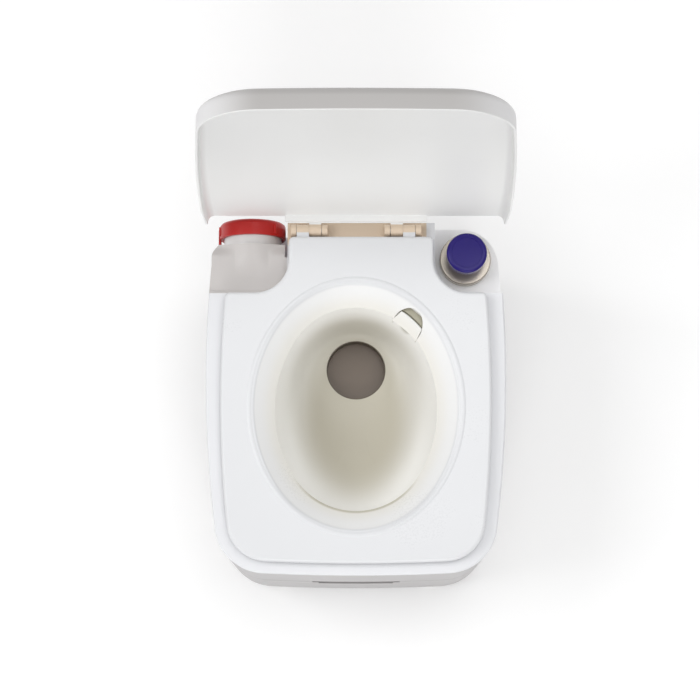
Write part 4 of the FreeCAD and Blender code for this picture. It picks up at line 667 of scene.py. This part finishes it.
class ToiletLid(bpy.types.PropertyGroup):
    """Sizes of the lid, in its own frame about the hinge."""
    front: size("Front", "From the hinge to the front corners", 0.423)
    rear: size("Rear", "From the hinge to the rear edge", 0.004)
    front_half: size("Front half width", "At the front corners, before rounding", 0.168)
    rear_half: size("Rear half width", "At the rear edge", 0.186)
    corner: size("Corner", "Rounding of the front corners", 0.065)
    top: size("Top", "Outer face above the hinge when closed", 0.0207)
    skirt: size("Skirt", "Depth of the skirt", 0.028)
    edge: size("Edge", "Rounding from the outer face to the skirt", 0.021)
    wall: size("Wall", "Thickness", 0.003)
    side_bow: size("Side bow", "Rise of the bowed sides", 0.0066)
    front_bow: size("Front bow", "Rise of the bowed front", 0.006)
    taper: size("Taper", "Length over which the skirt runs out to its rear tips", 0.090)
    lip: size("Lip", "Depth of the lip along the rear edge, between the hinges", 0.010)
    knuckle: size("Knuckle", "Outer radius of the hinge knuckles", 0.007)


# The rest of the lid, in metres and shares in the same frame.
LID_STEP = 0.012
LID_CORNER_STEPS = 20
LID_EDGE_STEPS = 10
RIM_DEGREES = 60.0
RIM_SHARE = 0.3
RIM_STEPS = 2
FRONT_BOW_START = 0.6
TIP_SHARE = 0.5
FACING = 0.3
LEAST_OUTWARDS = 0.02
REAR_LIP_WIDTH = 0.176
REAR_LIP_SINK = 0.001
KNUCKLE_OFFSET = 0.0505
KNUCKLE_HALF = 0.0075
KNUCKLE_BORE = 0.0033
KNUCKLE_STEPS = 40
ARM_WIDTH = (2 * KNUCKLE_HALF, 0.0065, 0.0080)
ARM_BEHIND = -0.00075
ARM_RISE = 0.0080


class TOILET_OT_lid(bpy.types.Operator):
    """Shapes the lid as one thin tray with softly rounded edges and two knuckles"""
    bl_idname = "toilet.lid"
    bl_label = "Shape the lid"

    def execute(self, context):
        lid = context.scene.toilet_lid
        shape = Shape()
        shape.face([(-lid.front_half, -lid.front, lid.top), (lid.front_half, -lid.front, lid.top),
                    (lid.rear_half, -lid.rear, lid.top), (-lid.rear_half, -lid.rear, lid.top)])
        shape.round_corners(lambda place: place.y < -lid.rear - TOUCH, lid.corner, LID_CORNER_STEPS)
        shape.divide(LID_STEP)
        shape.warp(lambda place: self.bow(lid, place))
        sides = shape.edges_where(lambda place: place.y < -lid.rear - TOUCH)
        shape.drop(sides, (0, 0, -lid.skirt))
        shape.bevel(sides, lid.edge, LID_EDGE_STEPS)
        shape.warp(lambda place: self.run_out(lid, place))
        shape.weld()
        shape.thicken(lid.wall)
        shape.weld()
        shape.bevel(shape.edges_over(RIM_DEGREES), lid.wall * RIM_SHARE, RIM_STEPS)
        # Faces on the outside take the grey paint: painted shade on the lid's outside.
        for face in shape.bm.faces:
            face.material_index = int(self.is_outside(lid, face))
        for side in (-1, 1):
            self.knuckle(shape, lid, side * KNUCKLE_OFFSET)
        lip = shape.block((REAR_LIP_WIDTH, lid.wall, lid.lip),
                          (0, -lid.rear - lid.wall / 2, lid.top - REAR_LIP_SINK - lid.lip / 2))
        shape.bevel(shape.edges_among(lip), lid.wall * RIM_SHARE, RIM_STEPS)
        opening = Matrix.Rotation(-LID_OPEN, 3, "X")
        hinge = middle(PIN_BOX)
        shape.warp(lambda place: opening @ place + hinge)
        shape.weld()
        tray = shape.piece(context, "lid_tray", "lid_body", "lid_white", ["lid"])
        # The second paint is the grey of the lid's outside, which is painted shade.
        tray.data.materials.append(paints(context)["lid_outside"])
        return {"FINISHED"}

    def bow(self, lid, place):
        """Bows the sides and the front."""
        along = (-lid.rear - place.y) / (lid.front - lid.rear)
        side = 1 + lid.side_bow * 4 * along * (1 - along) / lid.rear_half
        ahead = clamp((along - FRONT_BOW_START) / (1 - FRONT_BOW_START))
        across = max(0.0, 1 - (place.x / lid.front_half) ** 2)
        return Vector((place.x * side, place.y - lid.front_bow * across * ahead, place.z))

    def run_out(self, lid, place):
        """Shortens the skirt towards the rear tips."""
        near = max(0.0, (place.y + lid.rear + lid.taper) / lid.taper)
        low = lid.top - lid.skirt * (1 - TIP_SHARE * near)
        return Vector((place.x, place.y, max(place.z, low)))

    def is_outside(self, lid, face):
        """Says whether a face is on the outside of the tray."""
        centre = face.calc_center_median()
        outwards = face.normal.x * centre.x + face.normal.y * (centre.y + lid.front / 2)
        return face.normal.z > FACING or (face.normal.z > -FACING and outwards > LEAST_OUTWARDS)

    def knuckle(self, shape, lid, centre):
        """A bored knuckle and the arm that joins it to the tray."""
        made = shape.spin([(KNUCKLE_BORE, -KNUCKLE_HALF), (lid.knuckle, -KNUCKLE_HALF),
                           (lid.knuckle, KNUCKLE_HALF), (KNUCKLE_BORE, KNUCKLE_HALF),
                           (KNUCKLE_BORE, -KNUCKLE_HALF)], (0, 0, 0), KNUCKLE_STEPS)
        bmesh.ops.rotate(shape.bm, verts=made, cent=(0, 0, 0), matrix=Matrix.Rotation(QUARTER_TURN, 3, "Y"))
        bmesh.ops.translate(shape.bm, verts=made, vec=(centre, 0, 0))
        shape.block(ARM_WIDTH, (centre, ARM_BEHIND, ARM_RISE))


class ToiletCap(bpy.types.PropertyGroup):
    """Sizes of the filler cap and the pump knob."""
    radius: size("Cap radius", "Outside of the filler cap", 0.0415)
    bore: size("Cap bore", "Inside of the filler cap", 0.037)
    skirt: size("Cap length", "Filler cap along its axis", 0.020)
    end: size("Cap end", "End wall", 0.004)
    edge: size("Cap edge", "Rounding round the end", 0.0055)
    rib: size("Cap rib", "Radius of the grip ribs", 0.0019)
    knob: size("Knob radius", "Pump knob", 0.025)
    height: size("Knob height", "Pump knob", 0.015)
    knob_edge: size("Knob edge", "Rounding along the top of the knob", 0.0035)


# The rest of the cap and the knob, in metres. The ribs are measured round from the top of the cap.
ROUND_STEPS = 128
CAP_EDGE_STEPS = 8
SMALL_EDGE = 0.0012
SMALL_EDGE_STEPS = 3
RIB_DEGREES = (44, 164, 284)
RIB_SIDES = 16
RIB_SHORTER = 0.003
TAB_WIDTH = (0.0034, 0.008, 0.028)
TAB_SINK = 0.0003
TAB_DOWN = -0.021
KNOB_BORE = 0.015
KNOB_ROOF = 0.003
KNOB_LOW_EDGE = 0.0015
KNOB_EDGE_STEPS = 6
DISH_RIM = 0.019
DISH_FLOOR = 0.0185
DISH_DEPTH = 0.0006


class TOILET_OT_cap(bpy.types.Operator):
    """Turns the filler cap, with its grip ribs and tab"""
    bl_idname = "toilet.cap"
    bl_label = "Turn the filler cap"

    def execute(self, context):
        cap = context.scene.toilet_cap
        centre = Vector((0.0, 0.0))
        shape = Shape()
        shape.spin([(cap.bore, -cap.skirt), (cap.radius, -cap.skirt), (cap.radius, 0), (0, 0), (0, -cap.end),
                    (cap.bore, -cap.end), (cap.bore, -cap.skirt)], (0, 0, 0), ROUND_STEPS)
        shape.weld()
        shape.bevel(shape.circle(centre, cap.radius, 0), cap.edge, CAP_EDGE_STEPS)
        shape.bevel(shape.circle(centre, cap.radius, -cap.skirt), SMALL_EDGE, SMALL_EDGE_STEPS)
        for degrees in RIB_DEGREES:
            self.rib(shape, cap, math.radians(degrees))
        tab = shape.block(TAB_WIDTH, (TAB_SINK - cap.radius, 0, TAB_DOWN))
        shape.bevel(shape.edges_among(tab), SMALL_EDGE, SMALL_EDGE_STEPS)
        tilt = Matrix.Rotation(-QUARTER_TURN, 3, "X")
        end = middle(CAP_BOX)
        end.y = CAP_BOX[1].y
        shape.warp(lambda place: tilt @ place + end)
        shape.face_out()
        shape.piece(context, "filler_cap", "fill_cap_body", "cap_red", ["fill_cap"])
        return {"FINISHED"}

    def rib(self, shape, cap, angle):
        """A rounded grip rib along the cap."""
        length = cap.skirt - cap.edge - RIB_SHORTER
        made = bmesh.ops.create_cone(shape.bm, cap_ends=True, segments=RIB_SIDES, radius1=cap.rib,
                                     radius2=cap.rib, depth=length)["verts"]
        place = (cap.radius * math.sin(angle), -cap.radius * math.cos(angle), -cap.edge - length / 2)
        bmesh.ops.translate(shape.bm, verts=made, vec=place)


class TOILET_OT_knob(bpy.types.Operator):
    """Turns the pump knob"""
    bl_idname = "toilet.knob"
    bl_label = "Turn the pump knob"

    def execute(self, context):
        cap = context.scene.toilet_cap
        centre = middle(KNOB_BOX).xy
        top = KNOB_BOX[1].z
        low = top - cap.height
        dish = top - DISH_DEPTH
        roof = top - KNOB_ROOF
        shape = Shape()
        shape.spin([(KNOB_BORE, low), (cap.knob, low), (cap.knob, top), (DISH_RIM, top), (DISH_FLOOR, dish),
                    (0, dish), (0, roof), (KNOB_BORE, roof), (KNOB_BORE, low)], (*centre, 0), ROUND_STEPS)
        shape.weld()
        for height, radius in ((top, cap.knob_edge), (low, KNOB_LOW_EDGE)):
            shape.bevel(shape.circle(centre, cap.knob, height), radius, KNOB_EDGE_STEPS)
        shape.face_out()
        shape.piece(context, "push_knob", "pump_plunger", "pump_blue", ["pump_knob"])
        return {"FINISHED"}


class ToiletShoulder(bpy.types.PropertyGroup):
    """Sizes of the filler shoulder."""
    front: size("Shoulder front", "Front of the shoulder behind the middle", 0.104)
    rear: size("Shoulder rear", "Rear of the shoulder behind the middle", 0.163)
    left: size("Shoulder left", "Left edge of the shoulder from the middle line", 0.1795)
    skirt: size("Shoulder corner", "Length of its rounded rear left corner", 0.017)
    right: size("Shoulder right", "Right edge of the shoulder from the middle line", 0.0885)
    flat: size("Shoulder height", "Flat part of the shoulder above the floor", 0.2983)
    side: size("Shoulder sides", "Where it has run down beside the filler neck", 0.2920)
    crown: size("Shoulder crown", "Where it has risen over the filler neck", 0.3035)
    skin: size("Skin", "Thickness", 0.0014)


# The rest of the shoulder, in metres in the frame.
SHOULDER_COLUMNS = 60
SHOULDER_ROWS = 40
SHOULDER_CORNER_START = 0.146
NECK_LEFT = 0.130
NECK_HALF = 0.044
RISE_START = 0.118
RISE_LENGTH = 0.034
FALL_START = 0.147
FALL_LENGTH = 0.014


class TOILET_OT_shoulder(bpy.types.Operator):
    """Sweeps the shoulder that runs back over the filler neck"""
    bl_idname = "toilet.shoulder"
    bl_label = "Sweep the filler shoulder"

    def execute(self, context):
        deck = context.scene.toilet_shoulder
        shape = Shape()
        bmesh.ops.create_grid(shape.bm, x_segments=SHOULDER_COLUMNS, y_segments=SHOULDER_ROWS, size=0.5)
        shape.warp(lambda place: self.sweep(deck, place))
        shape.thicken(deck.skin)
        shape.weld()
        shape.piece(context, "filler_shoulder", "flush_tank", "deck_white")
        return {"FINISHED"}

    def sweep(self, deck, place):
        """Moves a point of a unit grid to its place on the shoulder."""
        y = deck.front + (place.y + 0.5) * (deck.rear - deck.front)
        left = deck.left - 0.5 * deck.skirt * max(0.0, (y - SHOULDER_CORNER_START) / deck.skirt) ** 2
        x = -left + (place.x + 0.5) * (left - deck.right)
        across = max(-1.0, min(1.0, (x + NECK_LEFT) / NECK_HALF))
        bump = deck.side + (deck.crown - deck.side) * (0.5 + 0.5 * math.cos(math.pi * across))
        rise = ease((y - RISE_START) / RISE_LENGTH)
        height = deck.flat + (max(bump, deck.flat) - deck.flat) * rise
        if bump < deck.flat:
            height += (bump - deck.flat) * ease((y - FALL_START) / FALL_LENGTH)
        return Vector((x, y, height))


class ToiletRoll(bpy.types.PropertyGroup):
    """Sizes of the rolled edge round the seat's opening."""
    wide: size("Roll width", "Width of the roll", 0.0064)
    rise: size("Roll height", "Rise of the roll above the seat", 0.0010)
    root: size("Roll root", "Depth of its root in the seat", 0.0012)
    out: size("Roll offset", "Inner foot of the roll outside the opening", 0.0004)
    segments: IntProperty(name="Segments", description="Steps round the opening", default=192, min=32)


ROLL_STEPS = 8
ROLL_SHARP = 60.0


class TOILET_OT_roll(bpy.types.Operator):
    """Lays the rolled edge round the seat's opening"""
    bl_idname = "toilet.roll"
    bl_label = "Lay the rolled seat edge"

    def execute(self, context):
        roll = context.scene.toilet_roll
        top = SEAT_BOX[1].z
        shape = Shape()
        section = [(0.0, -roll.root)]
        for step in range(ROLL_STEPS + 1):
            share_across = step / ROLL_STEPS
            section.append((roll.wide * share_across, roll.rise * math.sin(math.pi * share_across)))
        section.append((roll.wide, -roll.root))
        wide = SEAT_OPENING.half_width + roll.out
        long = SEAT_OPENING.half_length + roll.out
        rings = [shape.oval(wide + out, long + out, SEAT_OPENING.middle, top + height, roll.segments)
                 for out, height in section]
        for ring, following in zip(rings, rings[1:] + rings[:1]):
            shape.bridge(ring, following)
        shape.weld()
        shape.piece(context, "seat_roll", "seat_body", "seat_white", sharp=ROLL_SHARP)
        return {"FINISHED"}


class ToiletHood(bpy.types.PropertyGroup):
    """Sizes of the hood over the flush nozzle."""
    low_share: share("Low edge", "Low edge as a share of the seat's opening", 0.80)
    high_share: share("High edge", "High edge as a share of the seat's opening", 0.895)
    low: size("Low edge height", "Low edge above the floor", 0.2921)
    high: size("High edge height", "High edge above the floor", 0.3057)
    half_width: size("Half width", "Half width at the high edge", 0.0160)
    flare: turn("Flare", "Turn of each side outwards", 11.0)
    cheek: size("Cheeks", "Depth of the sides down to the deck", 0.010)
    skin: size("Skin", "Thickness", 0.0016)


# The rest of the hood, in metres: how far it reaches inwards from the nozzle, and its small edges.
HOOD_INWARDS = 0.05
HOOD_DEGREES = 50.0
HOOD_EDGE = 0.0005
HOOD_EDGE_STEPS = 2


class TOILET_OT_hood(bpy.types.Operator):
    """Forms the hood that carries the seat's slope on over the flush nozzle"""
    bl_idname = "toilet.hood"
    bl_label = "Form the nozzle hood"

    def execute(self, context):
        hood = context.scene.toilet_hood
        nozzle = middle(NOZZLE_BOX)
        outwards = middle(KNOB_BOX) - nozzle
        outwards.z = 0.0
        outwards.normalize()
        shape = Shape()
        rings = [shape.oval(SEAT_OPENING.half_width * part, SEAT_OPENING.half_length * part,
                            SEAT_OPENING.middle, height)
                 for part, height in ((hood.low_share, hood.low), (hood.high_share, hood.high))]
        shape.bridge(*rings)
        shape.cut(nozzle - outwards * HOOD_INWARDS, -outwards)
        for side in (-1, 1):
            across = Vector((outwards.y, -outwards.x, 0.0)) * side
            corner = nozzle + across * hood.half_width
            slant = across * math.cos(hood.flare) + outwards * math.sin(hood.flare)
            shape.cut(corner, slant)
            shape.drop(shape.edges_where(lambda place: abs((place - corner).dot(slant)) < TOUCH),
                       (0.0, 0.0, -hood.cheek))
        shape.face_out()
        shape.thicken(hood.skin)
        shape.weld()
        shape.bevel(shape.edges_over(HOOD_DEGREES), HOOD_EDGE, HOOD_EDGE_STEPS)
        shape.piece(context, "nozzle_hood", "flush_tank", "seat_white")
        return {"FINISHED"}


class ToiletSprings(bpy.types.PropertyGroup):
    """Sizes of the two coil springs."""
    pump_wire: size("Pump wire", "Wire radius of the pump spring", 0.0011)
    vent_wire: size("Vent wire", "Wire radius of the vent spring", 0.0005)
    pump_turns: IntProperty(name="Pump turns", description="Turns of the pump spring", default=8, min=1)
    vent_turns: IntProperty(name="Vent turns", description="Turns of the vent spring", default=3, min=1)
    pump_keep: share("Pump squash", "Share of its length that the pressed spring keeps", 0.55)
    vent_keep: share("Vent squash", "Share of its length that the pressed spring keeps", 0.45)


TURN_STEPS = 28
WIRE_SIDES = 12
WIRE_SHARP = 60.0


class TOILET_OT_springs(bpy.types.Operator):
    """Winds the pump and vent springs from round wire"""
    bl_idname = "toilet.springs"
    bl_label = "Wind the springs"

    def execute(self, context):
        coil = context.scene.toilet_springs
        self.wind(context, "pump_coil", "pump_spring", "flush_tank", coil.pump_wire, coil.pump_turns,
                  "pump_press", coil.pump_keep)
        self.wind(context, "vent_coil", "vent_spring", "waste_tank", coil.vent_wire, coil.vent_turns,
                  "vent_press", coil.vent_keep)
        return {"FINISHED"}

    def wind(self, context, name, node, body, wire, turns, joint, keep):
        """Spins a ring of wire up a helix that fills the node's box."""
        low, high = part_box(node)
        place = middle((low, high))
        place.z = low.z
        radius = (high.x - low.x) / 2 - wire
        rise = high.z - low.z - 2 * wire
        steps = TURN_STEPS * turns
        shape = Shape()
        ring = bmesh.ops.create_circle(shape.bm, segments=WIRE_SIDES, radius=wire)["verts"]
        bmesh.ops.rotate(shape.bm, verts=ring, cent=(0, 0, 0), matrix=Matrix.Rotation(QUARTER_TURN, 3, "X"))
        bmesh.ops.translate(shape.bm, verts=ring, vec=(radius, 0, wire))
        bmesh.ops.spin(shape.bm, geom=ring + shape.edges_among(ring), cent=(0, 0, 0), axis=(0, 0, 1),
                       dvec=(0, 0, rise / steps), angle=FULL_TURN * turns, steps=steps)
        bmesh.ops.holes_fill(shape.bm, edges=[edge for edge in shape.bm.edges if edge.is_boundary])
        bmesh.ops.translate(shape.bm, verts=shape.bm.verts, vec=place)
        shape.weld()
        item = shape.piece(context, name, body, "steel", [node], sharp=WIRE_SHARP, weighted=False)
        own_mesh(item)


class ToiletStage(bpy.types.PropertyGroup):
    """Camera."""
    distance: size("Camera distance", "From the camera to the deck", 2.75)
    elevation: turn("Camera height", "Angle above the horizon", 82.0)
    focal: FloatProperty(name="Focal length", description="Lens for a 36 mm sensor", default=115.0, min=1.0,
                         unit="CAMERA")


Lamp = namedtuple("Lamp", "name place target width power")
LAMPS = (
    Lamp("soft_left", Vector((-2.7, 0.1, 3.8)), Vector((0.0, -0.05, 0.25)), 2.2, 58.0),
    Lamp("soft_above", Vector((0.8, 0.9, 4.8)), Vector((0.0, 0.0, 0.3)), 2.6, 54.0),
    Lamp("soft_front", Vector((0.2, -4.2, 2.9)), Vector((0.0, 0.0, 0.3)), 3.0, 86.0),
)
FLOOR_HALF = 30.0
FLOOR_GLOW = 0.09
FLOOR_ROUGHNESS = 0.9
PAPER = Noise(3.0)
PAPER_DARK = (0.93, 0.93, 0.93)
PAPER_LIGHT = (0.95, 0.95, 0.95)
SKY_COLOUR = (1.0, 1.0, 1.0, 1.0)
SKY_STRENGTH = 0.50
CAMERA_TARGET = Vector((0.0, -0.03, 0.303))
CAMERA_SENSOR = 36.0
CAMERA_CLIP = 50.0
# The view moves by a few pixels of the picture.
PICTURE_PIXELS = 700.0
SHIFT_RIGHT = -6.0 / PICTURE_PIXELS
SHIFT_UP = 47.0 / PICTURE_PIXELS


class TOILET_OT_stage(bpy.types.Operator):
    """Sets the floor, the soft lights and the camera"""
    bl_idname = "toilet.stage"
    bl_label = "Set the stage"

    def execute(self, context):
        scene = context.scene
        ground = self.floor(scene)
        for lamp in LAMPS:
            self.hang(scene, lamp)
        self.light_sky(scene)
        self.aim(scene)
        return {"FINISHED"}

    def floor(self, scene):
        """A wide sheet of white paper."""
        grid = bmesh.new()
        bmesh.ops.create_grid(grid, x_segments=1, y_segments=1, size=FLOOR_HALF)
        mesh = bpy.data.meshes.new("floor")
        grid.to_mesh(mesh)
        grid.free()
        ground = bpy.data.objects.new("floor", mesh)
        scene.collection.objects.link(ground)
        paper = Paint("Paper white")
        paper.vary("Base Color", paper.mix(paper.noise(PAPER), PAPER_DARK, PAPER_LIGHT))
        paper.set({"Roughness": FLOOR_ROUGHNESS, "Specular IOR Level": 0.0})
        paper.set({"Emission Strength": FLOOR_GLOW})
        mesh.materials.append(paper.material)
        return ground

    def hang(self, scene, lamp):
        """A square soft box that faces a point."""
        light = bpy.data.lights.new(lamp.name, "AREA")
        light.size = lamp.width
        light.energy = lamp.power
        item = bpy.data.objects.new(lamp.name, light)
        scene.collection.objects.link(item)
        item.location = lamp.place
        item.rotation_euler = (lamp.target - lamp.place).to_track_quat("-Z", "Y").to_euler()

    def light_sky(self, scene):
        """An even white light from all round."""
        scene.world = scene.world or bpy.data.worlds.new("World")
        scene.world.use_nodes = True
        sky = scene.world.node_tree.nodes["Background"].inputs
        sky["Color"].default_value = SKY_COLOUR
        sky["Strength"].default_value = SKY_STRENGTH
        scene.view_settings.view_transform = "Standard"

    def aim(self, scene):
        """A camera that looks down at the deck from the front."""
        view = scene.toilet_stage
        arm = Vector((0.0, -math.cos(view.elevation), math.sin(view.elevation))) * view.distance
        camera = bpy.data.objects.new("camera", bpy.data.cameras.new("camera"))
        scene.collection.objects.link(camera)
        camera.location = CAMERA_TARGET + arm
        camera.rotation_euler = (-arm).to_track_quat("-Z", "Y").to_euler()
        camera.data.sensor_width = CAMERA_SENSOR
        camera.data.lens = view.focal
        camera.data.clip_end = CAMERA_CLIP
        camera.data.shift_x = SHIFT_RIGHT
        camera.data.shift_y = SHIFT_UP
        scene.camera = camera


class TOILET_PT_panel(bpy.types.Panel):
    """Lists the steps and their settings"""
    bl_idname = "TOILET_PT_panel"
    bl_label = "Portable Toilet"
    bl_space_type = "VIEW_3D"
    bl_region_type = "UI"
    bl_category = "Toilet"

    def draw(self, context):
        for name, group in GROUPS.items():
            box = self.layout.box()
            for key in group.__annotations__:
                box.prop(getattr(context.scene, name), key)
        for step in STEPS:
            self.layout.operator(step.bl_idname)


GROUPS = {
    "toilet_colours": ToiletColours,
    "toilet_lid": ToiletLid,
    "toilet_cap": ToiletCap,
    "toilet_shoulder": ToiletShoulder,
    "toilet_hood": ToiletHood,
    "toilet_roll": ToiletRoll,
    "toilet_springs": ToiletSprings,
    "toilet_stage": ToiletStage,
}
STEPS = (TOILET_OT_paint, TOILET_OT_lid, TOILET_OT_cap, TOILET_OT_knob, TOILET_OT_shoulder, TOILET_OT_hood,
         TOILET_OT_roll, TOILET_OT_springs, TOILET_OT_stage)
CLASSES = (*GROUPS.values(), *STEPS, TOILET_PT_panel)


def register():
    for item in CLASSES:
        bpy.utils.register_class(item)
    for name, group in GROUPS.items():
        setattr(bpy.types.Scene, name, PointerProperty(type=group))


def unregister():
    for name in GROUPS:
        delattr(bpy.types.Scene, name)
    for item in reversed(CLASSES):
        bpy.utils.unregister_class(item)


def main():
    register()
    for step in STEPS:
        space, name = step.bl_idname.split(".")
        getattr(getattr(bpy.ops, space), name)()


if __name__ == "__main__":
    main()
